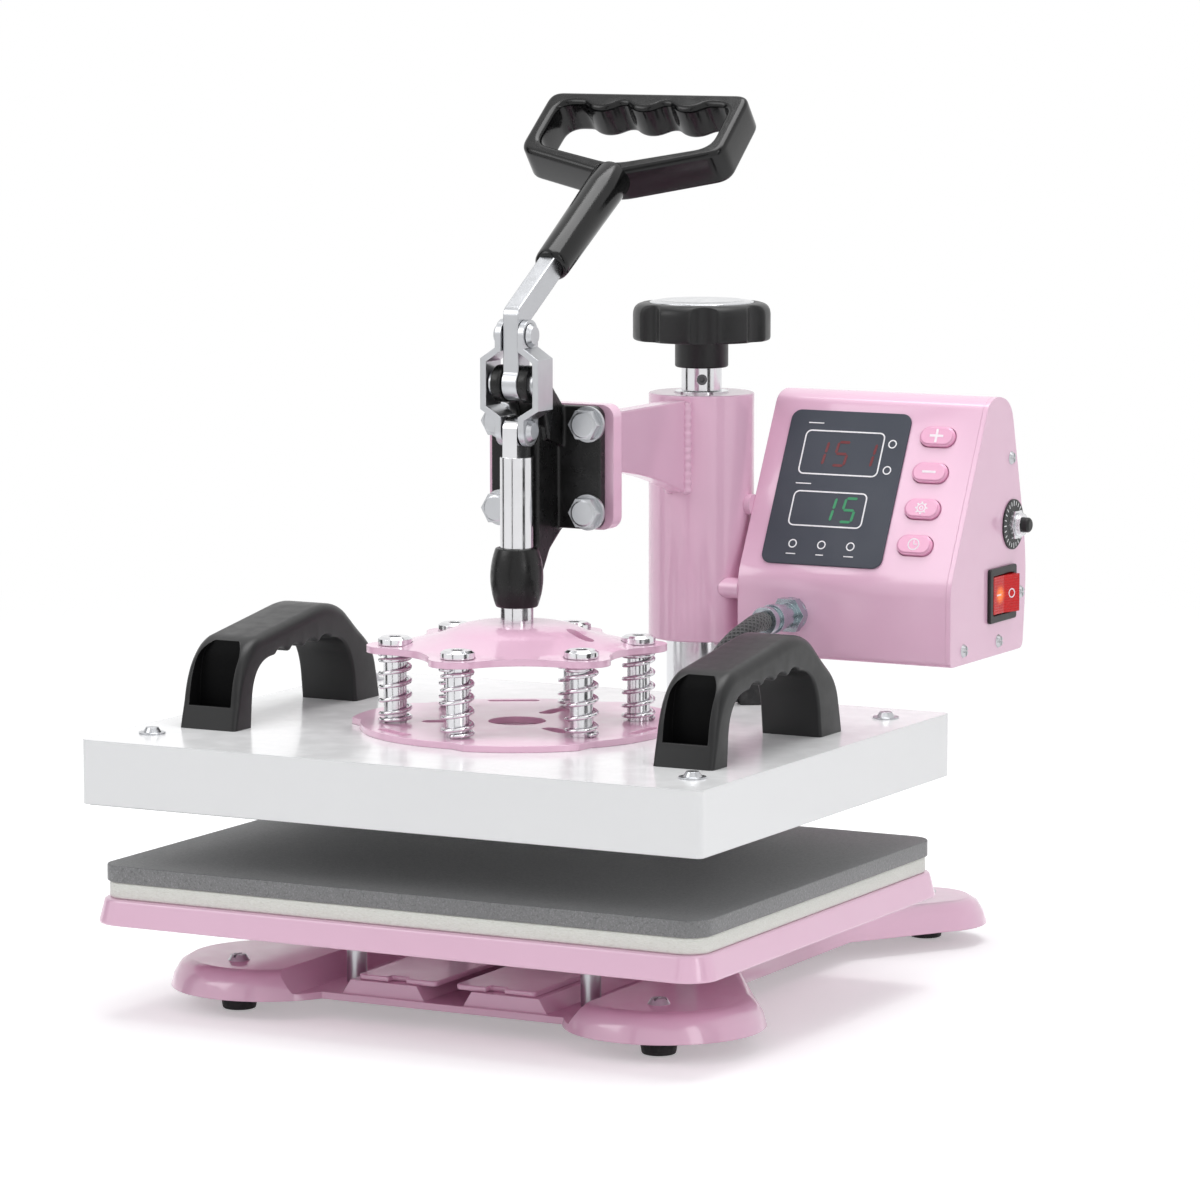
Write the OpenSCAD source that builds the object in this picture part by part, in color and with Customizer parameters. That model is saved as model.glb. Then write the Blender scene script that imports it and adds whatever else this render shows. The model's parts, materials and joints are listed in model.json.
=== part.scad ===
// Swing-away heat press: a heated platen on a sprung toggle plunger, carried by an arm that swings on a
// column and is set for height by a knob, over a padded bed on a pressed base.
// Millimetres, +Z up, +X right, +Y to the back. The origin is on the table, in the middle of the outline.

/* [Press] */
// Width of the press, which is the width of the heated platen
width = 310; // [300:5:340]
// Depth of the press, from the platen's front edge to the back of the control box
depth = 380; // [375:5:420]
// Depth of the heated platen
platen_d = 255; // [245:5:270]
// Height of the heated platen's cover
cover_h = 29; // [27:1:36]
// Gap between the heat plate and the foam pad when the press is open
open_gap = 28; // [26:1:32]

/* [Bed] */
// Height of the bed plate's lower edge above the table
bed_z = 43; // [40:1:50]
// Height of the bed plate
bed_plate_h = 11.5; // [10:0.5:16]
// Thickness of the felt pad
felt_h = 7.5; // [5:0.5:10]
// Thickness of the foam pad
foam_h = 7.5; // [5:0.5:10]

/* [Spring head] */
// Height of the springs between the two spiders
spring_h = 32; // [30:1:36]
// Outer diameter of the springs
spring_d = 15.4; // [14.8:0.2:16]
// Radius of the circle of the six spring bolts
bolt_circle_r = 55; // [54:1:58]
// Diameter of the plunger rod
rod_d = 15; // [14:0.5:15.5]

/* [Toggle lever] */
// Distance from the lever's main pin to its link pin
crank_r = 22; // [20:0.5:24]
// Width of the loop grip
grip_w = 105; // [98:1:112]
// Length of the grip's stem
stem_len = 62; // [56:1:68]

/* [Column] */
// Outer diameter of the column sleeve
sleeve_d = 50.6; // [49:0.2:52]
// Diameter of the column post
post_d = 33.4; // [32:0.2:34]
// Diameter of the height knob
knob_d = 66; // [60:1:72]

/* [Control box] */
// Width of the control box
box_w = 111; // [109:1:114]
// Height of the control box
box_h = 124; // [122:1:130]

/* [Hidden] */
$fn = 64;

// Running clearance round shafts, gap between pieces that move past each other, and seating gap
run = 0.06;
gap = 0.3;
eps = 1;

// Places along the depth
front_y = -depth / 2;
back_y = depth / 2;
bed_y = front_y + platen_d / 2;
rod_y = bed_y - 5;
col_y = back_y - 72.5;

// Base
foot_h = 9;
foot_r = 9;
base_t = 13;
base_skin = 3;
base_wall = 4;
base_top = foot_h + base_t;
base_floor = foot_h + base_skin;
base_front_y = bed_y - 76.5;
front_lobe = [101, bed_y - 55.5];
front_lobe_r = 45;
rear_lobe_r = 30;
rear_lobe = [100, back_y - rear_lobe_r];
waist_x = 92;
slant = [0.5376, 0.8432];
foot_spots = [[107, bed_y - 72.5], [97, back_y - 22]];
run_in = 60;
// Depth by which the straight runs of the rim stand inside the rounded corners
lobe_bite = 0.4;
block_x = 75;

// Rim of the pressed base: inset from its lower edge, and share of its height
rim = [[0, 0], [1.5, 0.42], [4.5, 0.8], [9, 1]];
rim_in = rim[3][0];

// Sunken middle of the base, and the two ridges and bed rails in it
well_half = 70;
well_slope = 8;
well_end = back_y - 103.5;
ridge_x = 31;
ridge_w = 42;
ridge_h = 6.5;
rail_x = 25;
rail_t = 2.5;
rail_w = 40;
rail_len = 150;
post_spots = [60, 47];
bed_post_r = 4.6;

// Bed
bed_d = platen_d - 5;
bed_flare = 3;
bed_corner = 12;
bed_web = 4;
bed_deck = bed_z + bed_plate_h;
felt_top = bed_deck + felt_h;
foam_top = felt_top + foam_h;
felt_inset = 3.5;
foam_inset = 3.5;

// Heated platen
heat_lip = 0.5;
heat_t = 10;
cover_wall = 1.5;
cover_corner = 3;
heat_z = foam_top + open_gap;
cover_z = heat_z + heat_lip;
cover_top = cover_z + cover_h;

// Spring head
spider_t = 3;
spider_low_top = cover_top + spider_t;
spider_up_z = spider_low_top + spring_h;
spider_up_t = 3;
spider_up_top = spider_up_z + spider_up_t;
hub_rise = 10;
hub_slot_l = 13;
hub_slot_w = 7;
hub_slot_r = 32.5;
hub_top = spider_up_top + hub_rise;
lobe_r = 13;
waist_r = bolt_circle_r - 3;
low_spider_r = bolt_circle_r + 16;
tab_r = low_spider_r + 5;
bolt_count = 6;
sleeve_r = 5.2;
spring_bolt_r = 3;
bolt_head_r = 7.7;
bolt_head_h = 3.6;
rod_r = rod_d / 2;

// Toggle
barrel_r = 12;
barrel_end_r = 9.4;
barrel_h = 27;
barrel_z = hub_top + 7;
barrel_top = barrel_z + barrel_h;
link_end_r = 7;
rest_drop = 21;
main_z = barrel_top + 2 + link_end_r + 2 * crank_r + rest_drop;
upper_z = main_z + crank_r;
lower_z = main_z - rest_drop;
bar_t = 8;
bar_w = 11;
bend_rise = 30.5;
stem_angle = 32;
loop_angle = 39;
stem_from = 37.7;
loop_depth = 18.5;
loop_h = 53.5;
loop_v = 12.5;
loop_foot = -4;
loop_lean = 0.25;
loop_bar = 7.5;
bump_step = 22.5;
bump_rise = 4.2;
bump_r = 12;
stem_r = [8.3, 9.4];
main_pin_r = 4;
link_pin_r = 3.5;
strap_in = bar_t / 2 + gap;
strap_t = 3;
bulge_in = 11.8;
ear_t = 5;
ear_r = 8.5;
tongue_t = 7.4;
shoulder_z = lower_z - 12;

// Bracket and arm
bracket_y = rod_y + 27;
bracket_t = 6;
bracket_w = 56;
bracket_z = barrel_top + 6.5;
bracket_top = main_z - 11.5;
backing_y = bracket_y + bracket_t;
backing_t = 8;
backing_w = 64;
arm_y = backing_y + backing_t;
arm_t = 9;
bolt_dx = 22.5;
bolt_dz = 20;

// Column
sleeve_top = main_z - 18;
sleeve_z = cover_top + 20;
sleeve_out = sleeve_d / 2;
sleeve_in = sleeve_out - 4;
cap_t = 6;
post_r = post_d / 2;
post_z = foot_h + base_skin;
post_top = sleeve_top - 25;
socket_r = post_r + 6;
socket_top = base_top + 17;
screw_r = 5;
bush_r = 12.8;
bush_top = sleeve_top + 0.8;
washer_t = 3.8;
washer_r = 12;
collar_r = 9.7;
collar_h = 11;
collar_z = bush_top + gap;
collar_turn = 28;
neck_z = collar_z + collar_h;
neck_h = 13;
neck_r = 12.8;
knob_z = neck_z + neck_h;
knob_h = 18;
knob_lobes = 7;
knob_round = 5.5;
flute_r = 8.6;
flute_depth = 3.6;
flute_turn = -10;

// Control box
box_x = sleeve_out + 2.7;
box_end = box_x + box_w;
box_z = sleeve_z - 5;
cap_x = box_end - 2.5;
box_wall = 2.5;
boss_r = 5;
boss_len = 14;
cap_screw_r = 1.6;
chin_z = box_z + 38;
brow_z = box_z + box_h - 3;
chin_y = back_y - 89.5;
brow_y = back_y - 46.5;
panel_angle = atan2(brow_z - chin_z, brow_y - chin_y);
panel_len = norm([brow_z - chin_z, brow_y - chin_y]);
panel_w = 63;
panel_h = 79;
panel_x = box_x + 42;
panel_s = panel_len - 7.5 - panel_h / 2;
button_x = box_x + 88.5;
button_l = 18;
button_d = 10;
button_step = 18.4;
button_s = panel_len - 18.3;
button_rise = 2.2;
buttons_y = [for (i = [0 : 3]) button_s - i * button_step];
rocker_y = back_y - 31.5;
rocker_z = box_z + 29;
rocker_l = 31;
rocker_w = 26;
breaker_y = back_y - 18;
breaker_z = box_z + 61;
breaker_neck = 6;
breaker_reach = 9.6;
gland_x = box_x + 29;
gland_z = box_z + 21;
gland_face = chin_y;

// Side handles on the platen, and the heater lead's route from the ferrule to its boot
handle_x = width / 2 - 34.7;
handle_y = bed_y - 8;
handle_w = 29.6;
handle_scoop = 22;
scoop_round = 9;
handle_floor = 10.3;
pocket_floor = 4.5;
pockets = [[-64.6, -57], [51, 58]];
handle_screw_u = [for (p = pockets) (p[0] + p[1]) / 2];
lead_r = 4.5;
ferrule_y = gland_face - 31;
boot_at = [gland_x - 2, bed_y + platen_d / 2 - 17.5, cover_top];
lead_slack = boot_at[1] - ferrule_y + 22;
boot_turn = 31;
lead_drop = gland_z - cover_top - lead_r - 0.2;
lead_shape = [
    [0, 0, 0], [0, -7, 0], [-1, -14, 2], [-4, -21, 6], [-8, -26, 12], [-11, -29, 19], [-12, -30, 25],
    [-11, -28, 29.5], [-7, -25, 31], [-2, -22, 31]
];
lead_route = [
    for (i = [0 : len(lead_shape) - 1])
        let (p = lead_shape[i])
            [gland_x + p[0], ferrule_y + p[1] + lead_slack * min(1, i / 6), gland_z - p[2] * lead_drop / 31]
];

// Spring wire and turns
wire_r = 1;
coil_turns = 6;
coil_rings = 8;
coil_sides = 6;
end_pitch = 2 * wire_r + 0.55;
coil_r = spring_d / 2 - wire_r;

// Colours
pink = [0.93, 0.67, 0.80];
black = [0.10, 0.10, 0.11];
steel = [0.74, 0.75, 0.77];
chrome = [0.82, 0.83, 0.85];
white = [0.93, 0.93, 0.93];

// Geometry helpers
function unit(v) = v / norm(v);
function wrap(list, i) = list[(i + len(list)) % len(list)];

// Points of a short curve that eases one corner of an outline
function corner(a, p, b, steps) = [
    for (k = [0 : steps])
        let (t = k / steps) a * pow(1 - t, 2) + p * 2 * t * (1 - t) + b * pow(t, 2)
];

// Outline whose corners are eased over the given reach, or left sharp where the reach is 0
function eased(pts, reach, steps = 5) = [
    for (i = [0 : len(pts) - 1])
        let (p = pts[i], a = unit(wrap(pts, i - 1) - p), b = unit(wrap(pts, i + 1) - p))
            each reach[i] == 0 ? [p] : corner(p + a * reach[i], p, p + b * reach[i], steps)
];

// Convex outline, listed anticlockwise, moved inwards by e
function shrunk(pts, e) = [
    for (i = [0 : len(pts) - 1])
        let (
            p = pts[i],
            d1 = unit(p - wrap(pts, i - 1)),
            d2 = unit(wrap(pts, i + 1) - p),
            n1 = [-d1[1], d1[0]],
            n2 = [-d2[1], d2[0]]
        )
            p + (n1 + n2) * e / (1 + n1 * n2)
];

// Vector turned by an angle
function turned(v, a) = [v[0] * cos(a) - v[1] * sin(a), v[0] * sin(a) + v[1] * cos(a)];

// Triangles that close a tube made of rings with the same number of points
function tube_faces(rings, sides) = concat(
    [
        for (i = [0 : rings - 2], j = [0 : sides - 1])
            let (a = i * sides + j, b = i * sides + (j + 1) % sides)
                each [[a, b, a + sides], [b, b + sides, a + sides]]
    ],
    [for (j = [1 : sides - 2]) [0, j + 1, j]],
    [for (j = [1 : sides - 2]) let (o = (rings - 1) * sides) [o, o + j, o + j + 1]]
);

// Ring of points round p, square to the direction t
function ring(p, t, r, sides, side_hint) =
    let (u = unit(cross(t, side_hint)), v = cross(u, t))
        [for (j = [0 : sides - 1]) p + r * (u * cos(360 * j / sides) + v * sin(360 * j / sides))];

// Extrude an outline drawn in (Y, Z) along X, in (X, Z) along Y, or in (X, Y) along Z
module along_x(x0, x1) {
    translate([x0, 0, 0]) rotate([90, 0, 90]) linear_extrude(x1 - x0) children();
}

module along_y(y0, y1) {
    translate([0, y1, 0]) rotate([90, 0, 0]) linear_extrude(y1 - y0) children();
}

module along_z(z0, z1) {
    translate([0, 0, z0]) linear_extrude(z1 - z0) children();
}

module rounded(w, d, r) {
    square([w, d - 2 * r], center = true);
    square([w - 2 * r, d], center = true);
    for (x = [-1, 1], y = [-1, 1]) {
        translate([x * (w / 2 - r), y * (d / 2 - r)]) circle(r);
    }
}

module stadium(l, w) {
    square([l - w, w], center = true);
    for (s = [-1, 1]) {
        translate([s * (l - w) / 2, 0]) circle(w / 2);
    }
}

module mirrored() {
    children();
    mirror([1, 0, 0]) children();
}

module four(dx, dy) {
    for (x = [-dx, dx], y = [-dy, dy]) {
        translate([x, y, 0]) children();
    }
}

module spring_spots() {
    for (i = [0 : bolt_count - 1]) {
        translate([0, rod_y, 0]) rotate(90 + i * 360 / bolt_count) translate([bolt_circle_r, 0, 0]) children();
    }
}

// Place children on the control box's slanted face: X right, Y up the face, Z out of it
module on_panel(x, s, rise = 0) {
    translate([x, chin_y, chin_z]) rotate([panel_angle, 0, 0]) translate([0, s, rise]) children();
}

// Place children on the right end cap: Z out of the box, Y up, X towards the front
module on_cap(y, z, rise = 0) {
    translate([box_end + rise, y, z]) rotate([90, 0, 90]) children();
}

// Base
function rim_points(e, h, drop) = concat(
    drop > 0 ? [[e, -drop]] : [],
    [for (p = rim) [e + p[0], p[1] * h]]
);

// Solid of revolution with the base's rim, for the rounded corners
module rim_lobe(p, r, e, h, drop) {
    translate([p[0], p[1], foot_h]) rotate_extrude()
        polygon(concat([[0, -drop]], [for (q = rim_points(e, h, drop)) [r - q[0], q[1]]], [[0, h]]));
}

// Straight run of the rim from a to b, with the base on its left
module rim_run(a, b, e, h, drop) {
    d = b - a;
    translate([a[0], a[1], foot_h]) rotate(atan2(d[1], d[0])) along_x(0, norm(d))
        polygon(concat([[run_in, -drop]], rim_points(e, h, drop), [[run_in, h]]));
}

// Pressed form of the base, moved inwards by e, with its flat top at height h above its lower edge
module pan_form(e, h, drop) {
    front_touch = front_lobe + (front_lobe_r - lobe_bite) * [slant[1], slant[0]];
    rear_touch = rear_lobe + (rear_lobe_r - lobe_bite) * [slant[1], -slant[0]];
    front_waist = front_touch + (front_touch[0] - waist_x) / slant[0] * [-slant[0], slant[1]];
    rear_waist = rear_touch + (rear_touch[0] - waist_x) / slant[0] * -slant;
    rear_edge = back_y - lobe_bite;
    mirrored() {
        rim_lobe(front_lobe, front_lobe_r, e, h, drop);
        rim_lobe(rear_lobe, rear_lobe_r, e, h, drop);
        rim_run(front_touch, front_waist + 14 * [-slant[0], slant[1]], e, h, drop);
        rim_run(front_waist - [0, 14], rear_waist + [0, 14], e, h, drop);
        rim_run(rear_waist - 14 * slant, rear_touch, e, h, drop);
    }
    rim_run([-block_x, base_front_y], [block_x, base_front_y], e, h, drop);
    rim_run([rear_lobe[0], rear_edge], [-rear_lobe[0], rear_edge], e, h, drop);
    along_z(foot_h - drop, foot_h + h) translate([-block_x, base_front_y + rim_in + e])
        square([2 * block_x, back_y - base_front_y - 2 * (rim_in + e)]);
}

// Sunken middle, grown by e on all sides
module well(e) {
    low = e > 0 ? foot_h - 2 * eps : base_floor;
    side = well_half + e;
    top = base_top + eps;
    slope = well_slope * (top - base_floor) / (base_top - base_floor);
    along_y(base_front_y - 30, well_end + e)
        polygon(concat(e > 0 ? [[-side, low], [side, low]] : [],
                       [[side, base_floor], [side + slope, top], [-side - slope, top], [-side, base_floor]]));
}

module ridge_profile(e) {
    foot = ridge_w / 2 - e;
    polygon([[-foot, -eps - e], [foot, -eps - e], [foot, 0], [foot - 4, ridge_h - e], [4 - foot, ridge_h - e], [-foot, 0]]);
}

module base_pan() {
    color(pink) difference() {
        union() {
            difference() {
                pan_form(0, base_t, 0);
                well(0);
                difference() {
                    pan_form(base_wall, base_t - base_skin, eps);
                    well(base_skin);
                }
            }
            for (s = [-1, 1]) {
                translate([s * ridge_x, 0, base_floor]) along_y(base_front_y + 3, well_end + 1) ridge_profile(0);
            }
            translate([0, col_y, foot_h]) cylinder(r = socket_r, h = socket_top - foot_h);
            mirrored() {
                for (p = foot_spots) {
                    translate([p[0], p[1], foot_h]) cylinder(r = foot_r + 2, h = base_t);
                }
            }
        }
        for (s = [-1, 1]) {
            translate([s * ridge_x, 0, base_floor])
                along_y(base_front_y + 3 + base_wall, well_end - base_wall) ridge_profile(base_skin);
        }
        translate([0, col_y, post_z]) cylinder(r = post_r, h = socket_top);
        mirrored() {
            for (p = foot_spots) {
                translate([p[0], p[1], 0]) cylinder(r = 2.5, h = base_top + eps);
            }
        }
    }
}

module rubber_feet() {
    color(black) mirrored() {
        for (p = foot_spots) {
            translate([p[0], p[1], 0]) difference() {
                cylinder(r1 = foot_r - 1.5, r2 = foot_r, h = foot_h);
                translate([0, 0, foot_h - 3]) cylinder(r = 2.5, h = 3 + eps);
            }
        }
    }
}

module foot_screws() {
    color(steel) mirrored() {
        for (p = foot_spots) {
            translate([p[0], p[1], 0]) difference() {
                union() {
                    translate([0, 0, foot_h - 3]) cylinder(r = 2.5, h = base_t + 3);
                    translate([0, 0, base_top]) cylinder(r1 = 5, r2 = 3.4, h = 2.6);
                }
                translate([-5, -0.6, base_top + 1.6]) cube([10, 1.2, 2]);
                translate([-0.6, -5, base_top + 1.6]) cube([1.2, 10, 2]);
            }
        }
    }
}

// Flat strips on the ridges, each with a notch in its front edge
module bed_rails() {
    color(pink) for (s = [-1, 1]) {
        translate([s * rail_x, base_front_y + rail_len / 2 + 5, 0])
            along_z(base_floor + ridge_h, base_floor + ridge_h + rail_t) difference() {
                rounded(rail_w, rail_len, 2);
                translate([-4.5, -rail_len / 2 - eps]) square([9, 4 + eps]);
            }
    }
}

module bed_posts() {
    color(steel) translate([0, bed_y, base_floor]) four(post_spots[0], post_spots[1])
        cylinder(r = bed_post_r, h = bed_deck - bed_web - base_floor);
}

// Block with rounded corners whose four sides flare out towards its foot
module flared_block(w, d, h, flare, r) {
    top_w = w - 2 * flare;
    top_d = d - 2 * flare;
    along_y(-d / 2 + flare + r, d / 2 - flare - r) polygon([[-w / 2, 0], [w / 2, 0], [top_w / 2, h], [-top_w / 2, h]]);
    along_x(-w / 2 + flare + r, w / 2 - flare - r) polygon([[-d / 2, 0], [d / 2, 0], [top_d / 2, h], [-top_d / 2, h]]);
    four(top_w / 2 - r, top_d / 2 - r) cylinder(r1 = r + flare, r2 = r, h = h);
}

module bed_plate() {
    color(pink) translate([0, bed_y, bed_z]) difference() {
        flared_block(width, bed_d, bed_plate_h, bed_flare, bed_corner);
        translate([0, 0, -eps]) linear_extrude(bed_plate_h - bed_web + eps) rounded(width - 14, bed_d - 14, bed_corner);
    }
}

module felt_pad() {
    color([0.93, 0.91, 0.84]) translate([0, bed_y, 0]) along_z(bed_deck, felt_top)
        rounded(width - 2 * (bed_flare + felt_inset) + 4, bed_d - 2 * (bed_flare + felt_inset) + 2, bed_corner - 1);
}

module foam_pad() {
    color([0.36, 0.36, 0.37]) translate([0, bed_y, 0]) along_z(felt_top, foam_top)
        rounded(width - 2 * foam_inset, bed_d - 2 * foam_inset - 3, bed_corner - 1);
}

// Column
module column_post() {
    color(steel) translate([0, col_y, 0]) difference() {
        translate([0, 0, post_z]) cylinder(r = post_r, h = post_top - post_z);
        translate([0, 0, post_z - eps]) cylinder(r = post_r - 3.5, h = post_top - 25 - post_z + eps);
        cylinder(r = screw_r + run, h = post_top + eps);
    }
}

module thrust_washer() {
    color(steel) translate([0, col_y, sleeve_top - cap_t - washer_t - 0.1]) difference() {
        cylinder(r = washer_r, h = washer_t);
        translate([0, 0, -eps]) cylinder(r = screw_r + run, h = washer_t + 2 * eps);
    }
}

module column_sleeve() {
    color(pink) translate([0, col_y, 0]) difference() {
        translate([0, 0, sleeve_z]) cylinder(r = sleeve_out, h = sleeve_top - sleeve_z);
        translate([0, 0, sleeve_z - eps]) cylinder(r = sleeve_in, h = sleeve_top - cap_t - sleeve_z + eps);
        cylinder(r = bush_r, h = sleeve_top + eps);
    }
}

module guide_bushes() {
    color([0.9, 0.9, 0.88]) for (z = [sleeve_z, post_top - 34]) {
        translate([0, col_y, z]) difference() {
            cylinder(r = sleeve_in, h = 24);
            translate([0, 0, -eps]) cylinder(r = post_r + run, h = 24 + 2 * eps);
        }
    }
}

module screw_bush() {
    color(chrome) translate([0, col_y, 0]) difference() {
        translate([0, 0, sleeve_top - cap_t]) cylinder(r = bush_r, h = cap_t + bush_top - sleeve_top);
        cylinder(r = screw_r + run, h = bush_top + eps);
    }
}

// Swinging arm and press bracket
module head_arm() {
    foot = col_y - sqrt(pow(sleeve_out, 2) - pow(arm_t / 2, 2)) + 4;
    arm_top = sleeve_top - 2;
    color(pink) difference() {
        along_x(-arm_t / 2, arm_t / 2) polygon(concat(
            [[foot, arm_top], [arm_y, arm_top], [arm_y, arm_top - 25]],
            corner([arm_y + 12, arm_top - 25], [arm_y + 75, arm_top - 27], [foot, arm_top - 46], 8)
        ));
        translate([0, col_y, 0]) cylinder(r = sleeve_out, h = 2 * sleeve_top);
    }
}

module backing_plate() {
    h = bracket_top - bracket_z;
    color(pink) translate([0, 0, (bracket_top + bracket_z) / 2]) difference() {
        along_y(backing_y, backing_y + backing_t) rounded(backing_w, h + 1, 6);
        for (x = [-bolt_dx, bolt_dx], z = [-bolt_dz, bolt_dz]) {
            translate([x, backing_y - eps, z]) rotate([-90, 0, 0]) cylinder(r = 4, h = backing_t + 2 * eps);
        }
    }
}

// Guide barrel: swollen in the middle
module barrel() {
    side = corner([barrel_end_r, 0], [2 * barrel_r - barrel_end_r, barrel_h / 2], [barrel_end_r + 0.2, barrel_h], 10);
    translate([0, rod_y, barrel_z]) rotate_extrude() polygon(concat([[0, 0]], side, [[0, barrel_h]]));
}

module press_bracket() {
    mid = (bracket_top + bracket_z) / 2;
    rib_y = rod_y + rod_r + 1;
    color(black) difference() {
        union() {
            translate([0, 0, mid]) along_y(bracket_y, bracket_y + bracket_t) rounded(bracket_w, bracket_top - bracket_z, 5);
            along_x(-6.5, 6.5) polygon([[rib_y, bracket_top - 10], [bracket_y + eps, bracket_top - 2],
                                       [bracket_y + bracket_t, bracket_z], [bracket_y - 7, bracket_z - 9],
                                       [rod_y + 9, barrel_z + 8], [rib_y, barrel_z + 8]]);
            for (s = [-1, 1]) {
                translate([s * (strap_in + ear_t / 2), 0, 0]) along_x(-ear_t / 2, ear_t / 2) ear();
            }
            barrel();
        }
        translate([0, rod_y, 0]) cylinder(r = rod_r + run, h = barrel_top + eps);
        translate([-bracket_w, rod_y, main_z]) rotate([0, 90, 0]) cylinder(r = main_pin_r, h = 2 * bracket_w);
        for (x = [-bolt_dx, bolt_dx], z = [-bolt_dz, bolt_dz]) {
            translate([x, bracket_y - eps, mid + z]) rotate([-90, 0, 0]) cylinder(r = 4.2, h = bracket_t + 2 * eps);
        }
    }
}

module ear() {
    translate([rod_y, main_z]) circle(ear_r);
    translate([rod_y, main_z]) polygon([[0, ear_r], [8, 6.5], [27.5, -11.5], [27.5, -30], [14, -26],
                                        [8.6, -8.6], [0, -ear_r]]);
}

module bracket_bolts() {
    mid = (bracket_top + bracket_z) / 2;
    color(steel) for (x = [-bolt_dx, bolt_dx], z = [-bolt_dz, bolt_dz]) {
        translate([x, bracket_y, mid + z]) rotate([90, 0, 0]) {
            cylinder(r = 8.2, h = 1.6);
            translate([0, 0, 1.6]) cylinder(r = 7.5, h = 4.6, $fn = 6);
            translate([0, 0, 6.2]) cylinder(r1 = 6.2, r2 = 5, h = 0.7);
            translate([0, 0, -bracket_t - backing_t + 1]) cylinder(r = 4, h = bracket_t + backing_t);
        }
    }
}

module lever_pin() {
    reach = strap_in + ear_t;
    color(steel) translate([0, rod_y, main_z]) rotate([0, 90, 0]) {
        cylinder(r = main_pin_r, h = 2 * reach, center = true);
        for (s = [-1, 1]) {
            translate([0, 0, s * (reach + 0.95)]) cylinder(r = 6, h = 1.9, center = true);
        }
    }
}

// Control box
function box_outline() = [
    [chin_y, box_z], [back_y - 4.5, box_z], [back_y, box_z + 43], [back_y - 20, box_z + box_h - 4],
    [back_y - 36, box_z + box_h], [brow_y, brow_z], [chin_y, chin_z]
];
box_reach = [3, 4, 20, 9, 5, 4, 6];

module box_profile(e = 0) {
    polygon(eased(shrunk(box_outline(), e), box_reach));
}

module box_shell() {
    color(pink) difference() {
        union() {
            difference() {
                along_x(box_x, cap_x) box_profile();
                along_x(box_x + box_wall, cap_x + eps) box_profile(box_wall);
            }
            for (p = cap_screw_spots()) {
                translate([cap_x - boss_len, p[0], p[1]]) rotate([0, 90, 0]) cylinder(r = boss_r, h = boss_len);
            }
        }
        for (p = cap_screw_spots()) {
            translate([cap_x - boss_len + 3, p[0], p[1]]) rotate([0, 90, 0]) cylinder(r = cap_screw_r, h = boss_len);
        }
        for (s = buttons_y) {
            on_panel(button_x, s, -box_wall - eps) linear_extrude(box_wall + 2 * eps)
                stadium(button_l + 2 * gap, button_d + 2 * gap);
        }
        on_panel(panel_x, panel_s, -box_wall - eps) linear_extrude(box_wall + 2 * eps) rounded(panel_w - 8, panel_h - 8, 3);
        translate([gland_x, gland_face + 10, gland_z]) rotate([90, 0, 0]) cylinder(r = 5, h = 20);
    }
}

module box_end_cap() {
    color(pink) difference() {
        along_x(cap_x, box_end) box_profile();
        on_cap(rocker_y, rocker_z, -10) linear_extrude(20) rounded(rocker_l - 4, rocker_w - 4, 1);
        on_cap(breaker_y, breaker_z, -10) cylinder(r = 5.2, h = 20);
        for (p = cap_screw_spots()) {
            on_cap(p[0], p[1], -10) cylinder(r = cap_screw_r, h = 20);
        }
    }
}

// Point inside the box's outline, a share of the way along one of its sides
function inside_edge(i, share, e) =
    let (a = box_outline()[i], d = box_outline()[i + 1] - a)
        a + d * share + e * turned(unit(d), 90);

function cap_screw_spots() = [
    for (q = [[0, 0.18], [0, 0.66], [1, 0.62], [2, 0.67]]) inside_edge(q[0], q[1], boss_r + 1.5)
];

module box_screws() {
    color(steel) for (p = cap_screw_spots()) {
        on_cap(p[0], p[1]) difference() {
            union() {
                cylinder(r1 = 3.2, r2 = 2.2, h = 1.5);
                translate([0, 0, cap_x - box_end - boss_len + 4]) cylinder(r = cap_screw_r, h = box_end - cap_x + boss_len - 4);
            }
            translate([-4, -0.4, 0.8]) cube([8, 0.8, 1]);
            translate([-0.4, -4, 0.8]) cube([0.8, 8, 1]);
        }
    }
}

module box_lugs() {
    color(pink) difference() {
        for (p = [[col_y, box_z + 70], [col_y - 13, box_z + 31]]) {
            translate([box_x, p[0], p[1]]) rotate([0, -90, 0]) cylinder(r = 5, h = sleeve_out / 2 + 2.7);
        }
        translate([0, col_y, 0]) cylinder(r = sleeve_out, h = 2 * sleeve_top);
    }
}

module display_panel() {
    color([0.30, 0.31, 0.35]) {
        on_panel(panel_x, panel_s) linear_extrude(1) rounded(panel_w, panel_h, 5);
        on_panel(panel_x, panel_s, -box_wall) linear_extrude(box_wall) rounded(panel_w - 8.2, panel_h - 8.2, 3);
    }
}

module control_board() {
    color([0.1, 0.35, 0.2]) {
        on_panel(panel_x + panel_w * 0.2, panel_s, -10) linear_extrude(1.6) rounded(panel_w * 1.5, panel_h, 2);
        for (x = [-0.32, 0.32], s = [-0.32, 0.32]) {
            on_panel(panel_x + x * panel_w, panel_s + s * panel_h, -8.4) cylinder(r = 2.5, h = 8.4 - box_wall);
        }
    }
}

module button(s) {
    color(pink) on_panel(button_x, s) {
        translate([0, 0, -box_wall - 1]) linear_extrude(box_wall + button_rise + 0.3) stadium(button_l, button_d);
        translate([0, 0, button_rise - 0.7]) linear_extrude(0.7) stadium(button_l - 1.6, button_d - 1.6);
        translate([0, 0, -box_wall - 1.6]) linear_extrude(1.3) stadium(button_l + 3, button_d + 3);
    }
}

module button_plus() {
    button(buttons_y[0]);
}

module button_minus() {
    button(buttons_y[1]);
}

module button_menu() {
    button(buttons_y[2]);
}

module button_start() {
    button(buttons_y[3]);
}

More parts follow.
